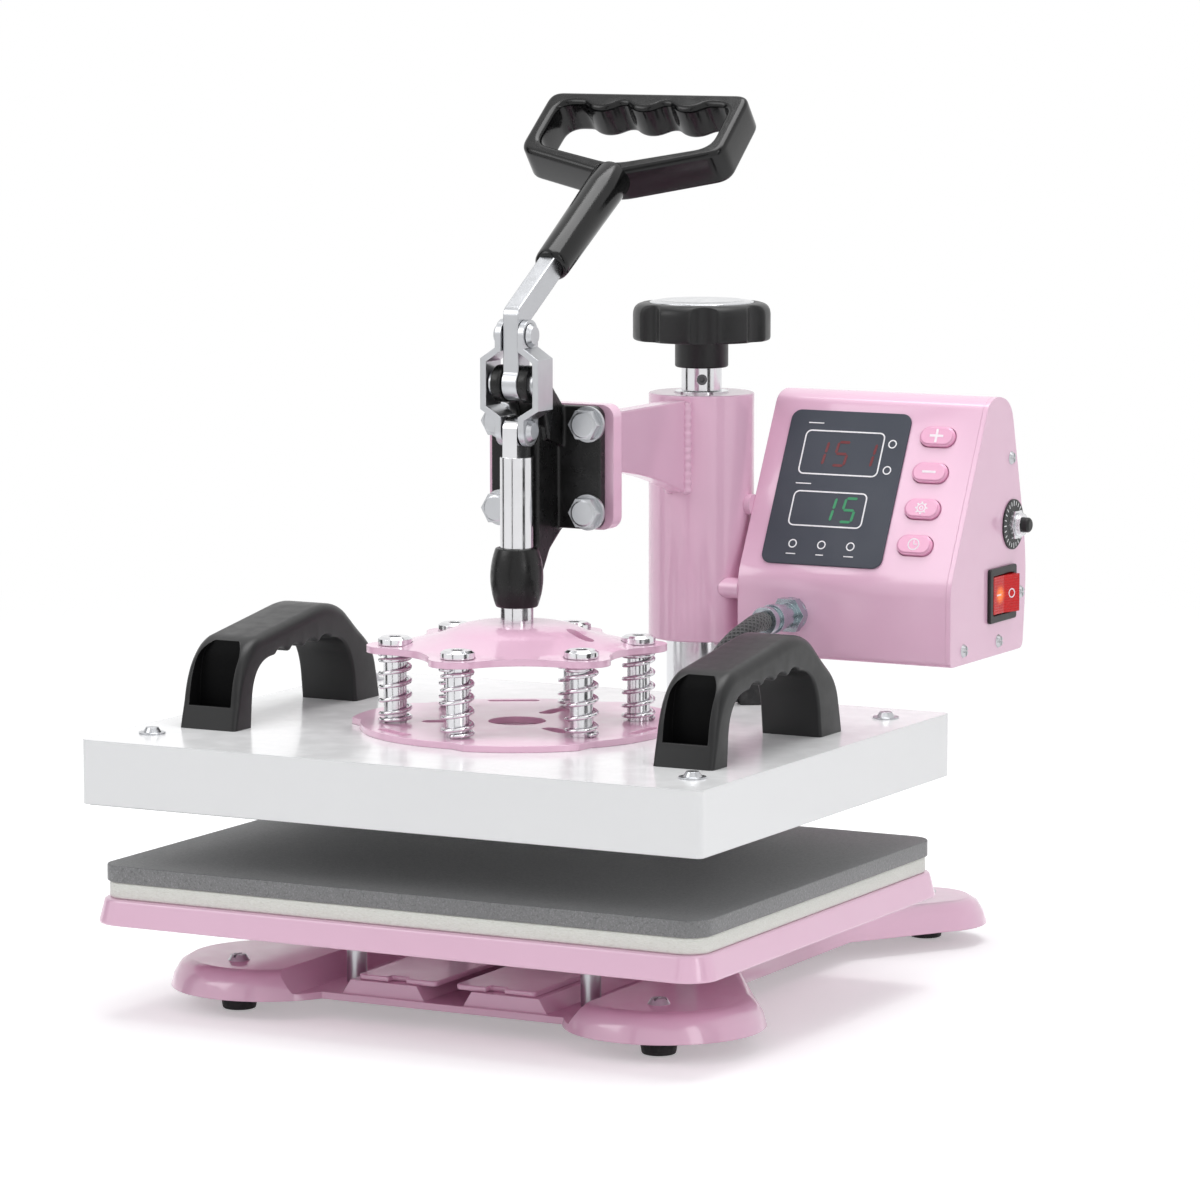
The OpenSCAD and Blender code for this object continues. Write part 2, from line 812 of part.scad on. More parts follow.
module breaker_ring() {
    color([0.15, 0.15, 0.16]) on_cap(breaker_y, breaker_z) difference() {
        cylinder(r = 12, h = 0.8);
        translate([0, 0, -eps]) cylinder(r = 5.2, h = 3);
    }
}

module breaker_nut() {
    color(chrome) on_cap(breaker_y, breaker_z) difference() {
        union() {
            translate([0, 0, 0.8]) cylinder(r = 7.6, h = 2.6, $fn = 6);
            translate([0, 0, -8]) cylinder(r = 5.2, h = breaker_neck + 8);
            translate([0, 0, -18]) cylinder(r = 7, h = 15.3);
        }
        translate([0, 0, -16]) cylinder(r = 3.6 + run, h = 40);
    }
}

module breaker_button() {
    color(black) on_cap(breaker_y, breaker_z) {
        translate([0, 0, -8]) cylinder(r = 3.6, h = breaker_reach + 7);
        translate([0, 0, breaker_reach - 1]) cylinder(r1 = 3.6, r2 = 2.6, h = 1);
    }
}

module rocker_bezel() {
    color(black) on_cap(rocker_y, rocker_z) difference() {
        union() {
            linear_extrude(1.8) rounded(rocker_l, rocker_w, 1.5);
            translate([0, 0, -18]) linear_extrude(18) rounded(rocker_l - 4.2, rocker_w - 4.2, 1);
        }
        translate([0, 0, -14]) linear_extrude(30) square([rocker_l - 7, rocker_w - 7], center = true);
    }
}

// Rocker: two faces that meet in a shallow valley, turned about its middle
module power_rocker() {
    half = (rocker_l - 8.6) / 2;
    color([0.85, 0.08, 0.08]) on_cap(rocker_y, rocker_z) translate([0, (rocker_w - 8) / 2, 0]) rotate([90, 0, 0])
        linear_extrude(rocker_w - 8) polygon([[-half, -1], [-half + 5, -7], [half - 5, -7], [half, -1],
                                              [half - 0.4, 5.2], [0, 1.8], [-half + 0.6, 1.4]]);
}

// Heater lead and its fittings
module cable_gland() {
    color(chrome) translate([gland_x, gland_face, gland_z]) rotate([90, 0, 0]) difference() {
        union() {
            cylinder(r = 8, h = 1.5);
            translate([0, 0, 1.5]) cylinder(r = 9, h = 5, $fn = 6);
            cylinder(r = 6, h = 19);
            translate([0, 0, -box_wall - 5]) cylinder(r = 5, h = box_wall + 5);
            translate([0, 0, -box_wall - 2]) cylinder(r = 8, h = 2);
        }
        translate([0, 0, -10]) cylinder(r = 3.5, h = 40);
    }
}

module lead_ferrule() {
    color(chrome) translate([gland_x, gland_face - 19, gland_z]) rotate([90, 0, 0]) difference() {
        union() {
            cylinder(r = 7, h = 4);
            translate([0, 0, 4]) cylinder(r = 5.8, h = 4);
            translate([0, 0, 8]) cylinder(r = 6.6, h = 4);
        }
        translate([0, 0, -eps]) cylinder(r = 3.5, h = 20);
    }
}

module heater_lead() {
    n = len(lead_route);
    sides = 10;
    rings = [
        for (i = [0 : n - 1])
            let (t = unit(lead_route[min(i + 1, n - 1)] - lead_route[max(i - 1, 0)]))
                ring(lead_route[i], t, lead_r, sides, [1, 0, 0])
    ];
    color([0.08, 0.08, 0.08]) polyhedron([for (r = rings) each r], tube_faces(n, sides));
}

module lead_boot() {
    color(black) translate(boot_at) rotate(boot_turn) difference() {
        along_y(-7.5, 7.5) polygon(eased([[0, 0], [18, 0], [11, 10.6], [0, 10.6]], [0, 0, 6, 2]));
        translate([-eps, 0, lead_r + 0.2]) rotate([0, 90, 0]) cylinder(r = 2.5, h = 9);
    }
}

// Toggle lever
module lever_bar() {
    color(steel) along_x(-bar_t / 2, bar_t / 2) translate([rod_y, main_z]) difference() {
        union() {
            circle(7.5);
            translate([-bar_w / 2, 0]) square([bar_w, bend_rise]);
            translate([0, bend_rise]) circle(bar_w / 2);
            translate([0, bend_rise]) rotate(stem_angle) translate([0, -bar_w / 2]) square([stem_from + 30, bar_w]);
        }
        circle(main_pin_r + run);
        translate([0, crank_r]) circle(link_pin_r);
    }
}

// Loop of the grip, wider below than above, moved inwards by the given side, top and foot insets
module loop_outline(side, top, foot) {
    half = grip_w / 2 - side;
    low = loop_v + foot * 0.55;
    high = loop_h - top;
    polygon(eased([[0, loop_foot + foot], [half + loop_lean, low], [half - loop_lean, high], [loop_lean - half, high],
                   [-half - loop_lean, low]], [8, 7, 7, 7, 7]));
}

// Loop grip with finger bumps inside its upper bar, on a round stem that thins towards the bar
module lever_grip() {
    stem_end = stem_from + stem_len;
    joint = [0, rod_y + cos(stem_angle) * stem_end, main_z + bend_rise + sin(stem_angle) * stem_end];
    color(black) difference() {
        union() {
            translate(joint) rotate([loop_angle, 0, 0]) translate([0, 9.6, -4.6]) linear_extrude(loop_depth, center = true)
                difference() {
                    loop_outline(0, 0, 0);
                    difference() {
                        loop_outline(loop_bar, loop_bar, loop_bar + 1);
                        for (i = [-1 : 1]) {
                            translate([i * bump_step, loop_h - loop_bar - bump_rise + bump_r]) circle(bump_r);
                        }
                    }
                }
            translate([0, rod_y, main_z + bend_rise]) rotate([stem_angle, 0, 0]) translate([0, stem_from, 0]) rotate([-90, 0, 0]) {
                cylinder(r1 = stem_r[0] - 1, r2 = stem_r[0], h = 2);
                translate([0, 0, 2]) cylinder(r1 = stem_r[0], r2 = stem_r[1], h = stem_len + 9);
            }
        }
        translate([0, rod_y, main_z + bend_rise]) rotate([stem_angle, 0, 0])
            translate([-bar_t / 2, -10, -bar_w / 2]) cube([bar_t, stem_from + 40, bar_w]);
    }
}

module link_pin() {
    reach = strap_in + strap_t + gap;
    color(steel) translate([0, rod_y, upper_z]) rotate([0, 90, 0]) {
        cylinder(r = link_pin_r, h = 2 * reach, center = true);
        for (s = [-1, 1]) {
            translate([0, 0, s * (reach + 1)]) cylinder(r1 = s > 0 ? 5.5 : 4, r2 = s > 0 ? 4 : 5.5, h = 2, center = true);
        }
    }
}

// Strap seen from the front: it swells outwards to pass the main pin
module strap_front() {
    a = strap_in;
    b = bulge_in;
    t = strap_t;
    up = upper_z - 7;
    low = lower_z + 11;
    polygon([[a, upper_z + link_end_r], [a, up], [b, up - 5], [b, low], [a, low - 4.5], [a, lower_z - link_end_r],
             [a + t, lower_z - link_end_r], [a + t, low - 6], [b + t, low - 1.5], [b + t, up - 3.5], [a + t, up + 1.5],
             [a + t, upper_z + link_end_r]]);
}

module strap_side() {
    for (z = [upper_z, lower_z]) {
        translate([rod_y, z]) circle(link_end_r);
    }
    translate([rod_y - link_end_r, lower_z]) square([2 * link_end_r, upper_z - lower_z]);
}

module toggle_links() {
    color(steel) mirrored() difference() {
        intersection() {
            along_y(rod_y - 20, rod_y + 20) strap_front();
            along_x(0, 30) strap_side();
        }
        translate([0, rod_y, upper_z]) rotate([0, 90, 0]) cylinder(r = link_pin_r + run, h = 30);
        translate([0, rod_y, lower_z]) rotate([0, 90, 0]) cylinder(r = link_pin_r, h = 30);
    }
}

module link_rivets() {
    color(steel) mirrored() translate([strap_in, rod_y, lower_z]) rotate([0, 90, 0]) {
        cylinder(r = link_pin_r, h = strap_t);
        translate([0, 0, strap_t]) cylinder(r1 = 5.2, r2 = 3.8, h = 2);
    }
}

module plunger_rod() {
    tongue_top = lower_z + 6.5;
    color(chrome) difference() {
        union() {
            translate([0, rod_y, spider_up_z]) cylinder(r = rod_r, h = shoulder_z - spider_up_z);
            intersection() {
                translate([0, rod_y, shoulder_z - eps]) cylinder(r = rod_r, h = tongue_top - shoulder_z + eps);
                along_x(-tongue_t / 2, tongue_t / 2) translate([rod_y, 0]) {
                    translate([-6.5, shoulder_z - eps]) square([13, lower_z - shoulder_z + eps]);
                    translate([0, lower_z]) circle(6.5);
                }
            }
        }
        translate([-20, rod_y, lower_z]) rotate([0, 90, 0]) cylinder(r = link_pin_r + run, h = 40);
    }
}

// Upper spider's outline: six lobes with hollow curves between them that bite a little into the lobes
module spider_plan() {
    bite = 0.15;
    mid = bolt_circle_r * [cos(30), sin(30)];
    k = waist_r - lobe_r;
    reach = (bolt_circle_r * bolt_circle_r - k * k) / (2 * (mid[0] - k));
    out = unit([reach, 0] - mid);
    tip = mid + lobe_r * out;
    translate([0, rod_y]) {
        difference() {
            polygon([for (i = [0 : bolt_count - 1], t = [-1, 1]) turned([tip[0], t * tip[1]], i * 360 / bolt_count)]);
            for (i = [0 : bolt_count - 1]) {
                rotate(i * 360 / bolt_count) translate([reach, 0]) circle(reach - waist_r + bite);
            }
        }
        for (i = [0 : bolt_count - 1]) {
            rotate(90 + i * 360 / bolt_count) translate([bolt_circle_r, 0]) circle(lobe_r);
        }
    }
}

module upper_spider() {
    foot_r1 = bolt_circle_r - 2;
    color(pink) difference() {
        union() {
            along_z(spider_up_z, spider_up_top) spider_plan();
            intersection() {
                translate([0, rod_y, spider_up_top]) rotate_extrude()
                    polygon(concat([[0, -eps], [foot_r1, -eps]],
                                   corner([foot_r1, 0], [42, 2.4], [33, 0.55 * hub_rise], 4),
                                   corner([32, 0.6 * hub_rise], [25, hub_rise], [14, hub_rise], 5), [[0, hub_rise]]));
                along_z(spider_up_z, spider_up_top + 2 * hub_rise) spider_plan();
            }
        }
        spring_spots() cylinder(r = sleeve_r + gap, h = 2 * spider_up_top);
        spring_spots() translate([0, 0, spider_up_top]) cylinder(r = bolt_head_r + gap, h = 2 * hub_rise);
        translate([0, rod_y, 0]) cylinder(r = rod_r, h = 2 * spider_up_top);
        for (a = [0, 180]) {
            translate([0, rod_y, spider_up_z - eps]) rotate(a) translate([hub_slot_r, 0, 0]) linear_extrude(40) stadium(hub_slot_l, hub_slot_w);
        }
    }
}

// Lower spider: a disc with three wide tabs, radial slots and rim slots
module lower_spider() {
    color(pink) difference() {
        along_z(cover_top, spider_low_top) translate([0, rod_y]) {
            circle(low_spider_r);
            for (i = [0 : 2]) {
                rotate(60 + i * 120) intersection() {
                    circle(tab_r);
                    polygon([[60, -33], [78, -21], [78, 21], [60, 33]]);
                }
            }
        }
        spring_spots() cylinder(r = spring_bolt_r + 0.2, h = 2 * spider_low_top);
        translate([0, rod_y, 0]) cylinder(r = 13, h = 2 * spider_low_top);
        for (i = [0 : 2]) {
            translate([0, rod_y, cover_top - eps]) rotate(90 + i * 120) translate([34, 0, 0]) linear_extrude(20) stadium(18, 7);
            translate([0, rod_y, cover_top - eps]) rotate(i * 120) translate([64, 0, 0]) linear_extrude(20) rotate(90) stadium(24, 5);
        }
    }
}

// Heated platen
module platen_cover() {
    color(white) translate([0, bed_y, 0]) difference() {
        along_z(cover_z, cover_top) rounded(width, platen_d, cover_corner);
        along_z(cover_z - eps, cover_top - cover_wall)
            rounded(width - 2 * cover_wall, platen_d - 2 * cover_wall, cover_corner - cover_wall);
        translate([0, -bed_y, 0]) spring_spots() cylinder(r = spring_bolt_r + 0.2, h = 2 * cover_top);
        four(width / 2 - 19, platen_d / 2 - 29.5) cylinder(r = 2.2, h = 2 * cover_top);
        translate([0, -bed_y, 0]) handle_spots() cylinder(r = 2.2, h = 2 * cover_top);
    }
}

module heat_plate() {
    color([0.25, 0.25, 0.27]) translate([0, bed_y, 0]) difference() {
        along_z(heat_z, heat_z + heat_t) rounded(width - 2 * cover_wall - 1, platen_d - 2 * cover_wall - 1, 2);
        translate([0, -bed_y, heat_z + 3]) spring_spots() cylinder(r = spring_bolt_r, h = 40);
        translate([0, 0, heat_z + 3]) four(width / 2 - 19, platen_d / 2 - 29.5) cylinder(r = 2, h = 40);
    }
}

module insulation_pad() {
    color([0.85, 0.82, 0.7]) translate([0, bed_y, 0]) difference() {
        along_z(heat_z + heat_t, cover_top - cover_wall) rounded(width - 2 * cover_wall - 2, platen_d - 2 * cover_wall - 2, 2);
        translate([0, -bed_y, 0]) spring_spots() cylinder(r = spring_bolt_r + 0.5, h = 2 * cover_top);
        four(width / 2 - 19, platen_d / 2 - 29.5) cylinder(r = 2.5, h = 2 * cover_top);
        translate([0, -bed_y, 0]) handle_spots() cylinder(r = 6, h = 2 * cover_top);
    }
}

module spring_bolts() {
    seat = spider_up_top + gap;
    color(chrome) spring_spots() difference() {
        union() {
            translate([0, 0, heat_z + 3]) cylinder(r = spring_bolt_r, h = seat - heat_z - 3);
            translate([0, 0, seat]) cylinder(r = bolt_head_r, h = bolt_head_h - 1);
            translate([0, 0, seat + bolt_head_h - 1]) cylinder(r1 = bolt_head_r, r2 = bolt_head_r - 1.6, h = 1);
        }
        translate([0, 0, seat + bolt_head_h - 2.4]) cylinder(r = 3, h = 5, $fn = 6);
    }
}

module spring_sleeves() {
    color(chrome) spring_spots() translate([0, 0, spider_low_top]) difference() {
        cylinder(r = sleeve_r, h = spider_up_top + gap - spider_low_top);
        translate([0, 0, -eps]) cylinder(r = spring_bolt_r, h = 2 * spring_h);
    }
}

// Spring wire: closed end turns, open turns between them, and a straight run at each end
coil_low = spider_low_top + wire_r + 0.02;
coil_high = spider_up_z - wire_r - gap;
open_pitch = (coil_high - coil_low - 2 * end_pitch) / (coil_turns - 2);
function coil_z(t) =
    coil_low + (t < 1 ? t * end_pitch
        : t > coil_turns - 1 ? end_pitch + (coil_turns - 2) * open_pitch + (t - coil_turns + 1) * end_pitch
        : end_pitch + (t - 1) * open_pitch);
coil_steps = coil_turns * coil_rings;
coil_line = [
    for (i = [0 : coil_steps])
        [coil_r * cos(360 * i / coil_rings), coil_r * sin(360 * i / coil_rings), coil_z(i / coil_rings)]
];
coil_gap = min([
    for (i = [0 : coil_steps], j = [0 : coil_steps])
        if (j - i >= coil_rings / 2) norm(coil_line[i] - coil_line[j]) - 2 * wire_r
]);
echo(least_gap_of_a_spring_to_itself = coil_gap);

// Ring of wire points at a turn angle, moved along the turn's own direction by shift
function wire_ring(i, shift) =
    let (a = 360 * i / coil_rings, out = [cos(a), sin(a), 0], on = [-sin(a), cos(a), 0])
        [
            for (j = [0 : coil_sides - 1])
                let (w = 90 + 360 * j / coil_sides)
                    coil_line[i] + on * shift + wire_r * (out * cos(w) + [0, 0, sin(w)])
        ];

module spring_wire() {
    rings = concat(
        [wire_ring(0, -2 * wire_r)],
        [for (i = [0 : coil_steps]) wire_ring(i, 0)],
        [wire_ring(coil_steps, 2 * wire_r)]
    );
    polyhedron([for (r = rings) each r], tube_faces(len(rings), coil_sides));
}

module pressure_springs() {
    color(chrome) spring_spots() spring_wire();
}

// Side handles: a bridge from front to back with a scoop at each foot and finger scallops below
module handle_spots() {
    for (x = [-handle_x, handle_x], u = handle_screw_u) {
        translate([x, handle_y + u, 0]) children();
    }
}

module handle_side() {
    difference() {
        polygon(concat(
            [[-69, 0]],
            corner([-66, 12], [-63, 36], [-46, 40.1], 6),
            corner([6, 47.9], [24, 50.6], [34, 42.5], 5),
            corner([50, 29.8], [58, 23.4], [59.2, 14], 4),
            [[62, 0], [39, 0]],
            corner([37.5, 12], [34.5, 31.5], [18, 32.6], 5),
            corner([-34, 30.6], [-51.5, 30], [-53, 12], 5),
            [[-54, 0]]
        ));
        for (i = [0 : 3]) {
            translate([-27 + i * 13, 25.2 + i * 0.5]) circle(8);
        }
    }
}

// Scoop over a foot's screw: its back wall leans out to the handle's outer face, under an arch
module handle_scoop_cut(wall, from, to, top) {
    intersection() {
        along_x(-handle_scoop, handle_scoop)
            polygon(concat([[to, handle_floor], [wall[0][0], handle_floor]], corner(wall[0], wall[1], wall[2], 4),
                           [[wall[2][0], 60], [to, 60]]));
        along_y(min(from, to), max(from, to)) translate([0, top - 30]) rounded(handle_scoop, 60, scoop_round);
    }
}

module side_handle(x) {
    color(black) translate([x, handle_y, cover_top]) difference() {
        along_x(-handle_w / 2, handle_w / 2) handle_side();
        handle_scoop_cut([[-57, 12], [-56.8, 30], [-50.4, 38.6]], -40, -80, 39.5);
        handle_scoop_cut([[51, 12], [51, 24], [46, 33.2]], 40, 80, 34);
        for (p = pockets) {
            translate([-handle_scoop / 2, p[0], pocket_floor]) cube([handle_scoop, p[1] - p[0], handle_floor]);
        }
        for (u = handle_screw_u) {
            translate([0, u, -eps]) cylinder(r = 2, h = 14);
        }
    }
}

module left_handle() {
    side_handle(-handle_x);
}

module right_handle() {
    side_handle(handle_x);
}

module handle_screws() {
    color(steel) handle_spots() {
        translate([0, 0, cover_top - cover_wall - 4]) cylinder(r = 2, h = cover_wall + 4 + pocket_floor);
        translate([0, 0, cover_top - cover_wall - 2]) cylinder(r = 5, h = 2);
        translate([0, 0, cover_top + pocket_floor]) cylinder(r1 = 3.3, r2 = 2.4, h = 2);
    }
}

module cover_screws() {
    color(steel) translate([0, bed_y, 0]) four(width / 2 - 19, platen_d / 2 - 29.5) {
        translate([0, 0, cover_top]) cylinder(r = 6, h = 0.8);
        translate([0, 0, cover_top + 0.8]) cylinder(r1 = 4.2, r2 = 2.8, h = 2.2);
        translate([0, 0, heat_z + 3]) cylinder(r = 2, h = cover_top - heat_z - 3);
    }
}

// Height knob: a disc with a rounded top and flutes round it, on a plain neck
function knob_half() = concat(
    [[0, 0]],
    corner([knob_d / 2 - 1.5, 0], [knob_d / 2, 0], [knob_d / 2, 1.5], 3),
    corner([knob_d / 2, knob_h - knob_round], [knob_d / 2, knob_h], [knob_d / 2 - knob_round, knob_h], 6),
    [[0, knob_h]]
);

module knob() {
    color(black) translate([0, col_y, 0]) difference() {
        union() {
            translate([0, 0, neck_z]) cylinder(r = neck_r, h = neck_h);
            translate([0, 0, knob_z]) rotate_extrude() polygon(knob_half());
        }
        for (i = [0 : knob_lobes - 1]) {
            rotate(i * 360 / knob_lobes + flute_turn) translate([knob_d / 2 - flute_depth + flute_r, 0, knob_z - eps])
                cylinder(r = flute_r, h = knob_h + 2 * eps);
        }
        translate([0, 0, knob_z + knob_h - 1.5]) cylinder(r = knob_d / 2 - 8, h = 3);
        translate([0, 0, neck_z - eps]) cylinder(r = screw_r, h = neck_h);
    }
}

module knob_disc() {
    color([0.75, 0.75, 0.77]) translate([0, col_y, knob_z + knob_h - 1.5]) {
        cylinder(r = knob_d / 2 - 8, h = 1.9);
        translate([0, 0, 1.9]) cylinder(r1 = knob_d / 2 - 8, r2 = knob_d / 2 - 13, h = 0.8);
    }
}

module screw_collar() {
    color(chrome) translate([0, col_y, collar_z]) difference() {
        cylinder(r = collar_r, h = collar_h);
        translate([0, 0, -eps]) cylinder(r = screw_r, h = collar_h + 2 * eps);
        translate([0, 0, collar_h / 2]) rotate([90, 0, collar_turn]) cylinder(r = 2.5, h = 2 * collar_r);
    }
}

module set_screw() {
    color([0.2, 0.2, 0.2]) translate([0, col_y, collar_z + collar_h / 2]) rotate([90, 0, collar_turn]) difference() {
        translate([0, 0, screw_r]) cylinder(r = 2.5, h = collar_r - screw_r - 0.6);
        translate([0, 0, screw_r + 2]) cylinder(r = 1.4, h = 10, $fn = 6);
    }
}

module lead_screw() {
    flange = sleeve_top - cap_t - washer_t - 0.2 - 3;
    color(steel) translate([0, col_y, 0]) {
        translate([0, 0, post_top - 45]) cylinder(r = screw_r, h = neck_z + neck_h - eps - post_top + 45);
        translate([0, 0, flange]) cylinder(r = 8, h = 3);
    }
}

base_pan();
rubber_feet();
foot_screws();
bed_rails();
bed_posts();
bed_plate();
felt_pad();
foam_pad();
column_post();
thrust_washer();
column_sleeve();
guide_bushes();
screw_bush();
head_arm();
backing_plate();
press_bracket();
bracket_bolts();
lever_pin();
box_shell();
box_end_cap();
box_screws();
box_lugs();
display_panel();
control_board();
breaker_ring();
breaker_nut();
rocker_bezel();
cable_gland();
lead_ferrule();
heater_lead();
lead_boot();
lever_bar();
lever_grip();
link_pin();
toggle_links();
link_rivets();
plunger_rod();
upper_spider();
platen_cover();
heat_plate();
insulation_pad();
lower_spider();
spring_bolts();
spring_sleeves();
pressure_springs();
left_handle();
right_handle();
handle_screws();
cover_screws();
knob();
knob_disc();
screw_collar();
set_screw();
lead_screw();
button_plus();
button_minus();
button_menu();
button_start();
power_rocker();
breaker_button();
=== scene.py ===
"""Looks of the swing-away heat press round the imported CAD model, in metres unless a comment says millimetres."""

import json
import math

import bmesh
import bpy
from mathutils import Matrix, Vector
from mathutils.geometry import tessellate_polygon


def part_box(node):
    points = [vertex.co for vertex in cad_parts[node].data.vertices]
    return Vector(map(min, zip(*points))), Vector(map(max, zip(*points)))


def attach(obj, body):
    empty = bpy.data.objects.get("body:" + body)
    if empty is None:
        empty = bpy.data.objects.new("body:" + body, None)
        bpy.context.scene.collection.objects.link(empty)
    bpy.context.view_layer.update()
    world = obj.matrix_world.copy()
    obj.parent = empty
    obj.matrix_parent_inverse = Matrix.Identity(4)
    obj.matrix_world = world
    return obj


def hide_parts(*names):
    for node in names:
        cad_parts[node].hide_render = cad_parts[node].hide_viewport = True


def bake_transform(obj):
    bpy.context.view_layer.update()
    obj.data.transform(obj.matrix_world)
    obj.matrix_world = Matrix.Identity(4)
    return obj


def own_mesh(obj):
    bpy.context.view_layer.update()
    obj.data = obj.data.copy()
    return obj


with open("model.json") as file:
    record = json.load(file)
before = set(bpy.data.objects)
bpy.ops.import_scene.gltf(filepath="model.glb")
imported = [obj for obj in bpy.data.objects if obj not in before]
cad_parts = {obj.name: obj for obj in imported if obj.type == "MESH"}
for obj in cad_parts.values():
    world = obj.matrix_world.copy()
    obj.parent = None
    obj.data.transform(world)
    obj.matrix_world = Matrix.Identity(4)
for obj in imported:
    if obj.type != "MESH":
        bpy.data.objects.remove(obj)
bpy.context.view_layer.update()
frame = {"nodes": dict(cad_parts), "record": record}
NODES = frame["nodes"]
MM = 0.001
TURN = 2 * math.pi
X, Y, Z = Vector((1, 0, 0)), Vector((0, 1, 0)), Vector((0, 0, 1))


# Camera, fitted to the photograph's corners
CAMERA_AT = Vector((1.1639, -2.1956, 0.4923))
CAMERA_YAW = 0.485
CAMERA_PITCH = 0.126
PHOTO_WIDTH_PX = 1200
FOCAL_PX = 5415
SENSOR_MM = 36.0


def put(name, data):
    """A new object in the scene."""
    made = bpy.data.objects.new(name, data)
    bpy.context.scene.collection.objects.link(made)
    return made


def make_camera():
    data = bpy.data.cameras.new("camera")
    data.sensor_width = SENSOR_MM
    data.lens = FOCAL_PX / PHOTO_WIDTH_PX * SENSOR_MM
    data.clip_start, data.clip_end = 0.1, 50
    camera = put("camera", data)
    ahead = Vector((
        -math.sin(CAMERA_YAW) * math.cos(CAMERA_PITCH),
        math.cos(CAMERA_YAW) * math.cos(CAMERA_PITCH),
        -math.sin(CAMERA_PITCH),
    ))
    camera.location = CAMERA_AT
    camera.rotation_mode = "QUATERNION"
    camera.rotation_quaternion = ahead.to_track_quat("-Z", "Y")
    bpy.context.scene.camera = camera


make_camera()


# Materials
class Look:
    """A node material: a Principled shader, with short calls for the nodes that feed it."""

    def __init__(self, name, color, rough, metallic=0.0, **sockets):
        self.material = bpy.data.materials.new(name)
        self.material.use_nodes = True
        self.tree = self.material.node_tree
        self.shader = self.tree.nodes["Principled BSDF"]
        self.normal = None
        self.set("Base Color", (*color, 1))
        self.set("Roughness", rough)
        self.set("Metallic", metallic)
        for socket, value in sockets.items():
            self.set(socket.replace("_", " ").title().replace("Ior", "IOR"), value)
        self.color = color

    def set(self, socket, value):
        self.shader.inputs[socket].default_value = value

    def link(self, out, into):
        self.tree.links.new(out, into)

    def node(self, kind, **inputs):
        made = self.tree.nodes.new("ShaderNode" + kind)
        for name, value in inputs.items():
            self.feed(made.inputs[name.replace("_", " ").title()], value)
        return made

    def feed(self, socket, value):
        if isinstance(value, bpy.types.NodeSocket):
            self.link(value, socket)
        else:
            socket.default_value = value

    def math(self, operation, a, b=0.0):
        made = self.node("Math")
        made.operation = operation
        self.feed(made.inputs[0], a)
        self.feed(made.inputs[1], b)
        return made.outputs[0]

    def vector(self, operation, a, b=None):
        """Vector math with a single value as its result."""
        made = self.node("VectorMath")
        made.operation = operation
        self.feed(made.inputs[0], a)
        if b is not None:
            self.feed(made.inputs[1], b)
        return made.outputs["Value"]

    def place(self, stretch=(1, 1, 1)):
        """The point in the row frame, stretched per axis."""
        spot = self.node("TexCoord").outputs["Object"]
        if stretch == (1, 1, 1):
            return spot
        return self.node("Mapping", vector=spot, scale=stretch).outputs["Vector"]

    def noise(self, grain_mm, detail=3.0, stretch=(1, 1, 1)):
        grain = 1 / (grain_mm * MM)
        return self.node("TexNoise", vector=self.place(stretch), scale=grain, detail=detail).outputs[0]

    def cells(self, grain_mm):
        return self.node("TexVoronoi", vector=self.place(), scale=1 / (grain_mm * MM)).outputs["Distance"]

    def between(self, amount, low, high, a, b):
        """A value that goes from a to b while amount goes from low to high."""
        made = self.node("MapRange", value=amount, from_min=low, from_max=high, to_min=a, to_max=b)
        return made.outputs["Result"]

    def tint(self, amount, other, low=0.35, high=0.65, most=1.0):
        """Goes towards another colour where amount is high."""
        mix = self.node("Mix")
        mix.data_type = "RGBA"
        self.link(self.between(amount, low, high, 0, most), mix.inputs["Factor"])
        base = self.shader.inputs["Base Color"]
        if base.is_linked:
            self.link(base.links[0].from_socket, mix.inputs["A"])
        else:
            mix.inputs["A"].default_value = (*self.color, 1)
        mix.inputs["B"].default_value = (*other, 1)
        self.link(mix.outputs["Result"], base)

    def roughen(self, amount, a, b, low=0.35, high=0.65):
        self.link(self.between(amount, low, high, a, b), self.shader.inputs["Roughness"])

    def softened(self, radius_mm):
        """The normal as it would be with rounded edges."""
        bevel = self.node("Bevel", radius=radius_mm * MM)
        bevel.samples = 4
        return bevel.outputs["Normal"]

    def bend(self, normal):
        self.normal = normal
        self.link(normal, self.shader.inputs["Normal"])

    def round_edges(self, radius_mm):
        self.bend(self.softened(radius_mm))

    def bump(self, amount, depth_mm, strength=1.0):
        made = self.node("Bump", height=amount, strength=strength, distance=depth_mm * MM)
        if self.normal:
            self.link(self.normal, made.inputs["Normal"])
        self.bend(made.outputs["Normal"])

    def edge_wear(self, color, most=0.5, radius_mm=0.7):
        """Lightens the paint or polish along edges, where a softened normal leaves the true one."""
        true = self.node("NewGeometry").outputs["True Normal"]
        edge = self.math("SUBTRACT", 1.0, self.vector("DOT_PRODUCT", self.softened(radius_mm), true))
        worn = self.math("MULTIPLY", edge, self.between(self.noise(4.0), 0.35, 0.7, 0.3, 1.0))
        self.tint(worn, color, 0.02, 0.22, most)


PINK = (0.84, 0.52, 0.68)
PINK_DEEP = (0.81, 0.48, 0.64)
PINK_PALE = (0.89, 0.59, 0.73)


def powder_coat(name, color=PINK, rough=0.36):
    """Glossy powder coat: faint orange peel, slight drift of colour, paler along the edges."""
    look = Look(name, color, rough, coat_weight=0.75, coat_roughness=0.1, coat_ior=1.65)
    look.round_edges(0.7)
    look.tint(look.noise(60, 2), PINK_DEEP, 0.4, 0.75, 0.35)
    look.edge_wear(PINK_PALE, 0.45)
    look.roughen(look.noise(9, 4), rough - 0.05, rough + 0.06)
    look.bump(look.noise(1.6, 2), 0.03, 0.16)
    return look.material


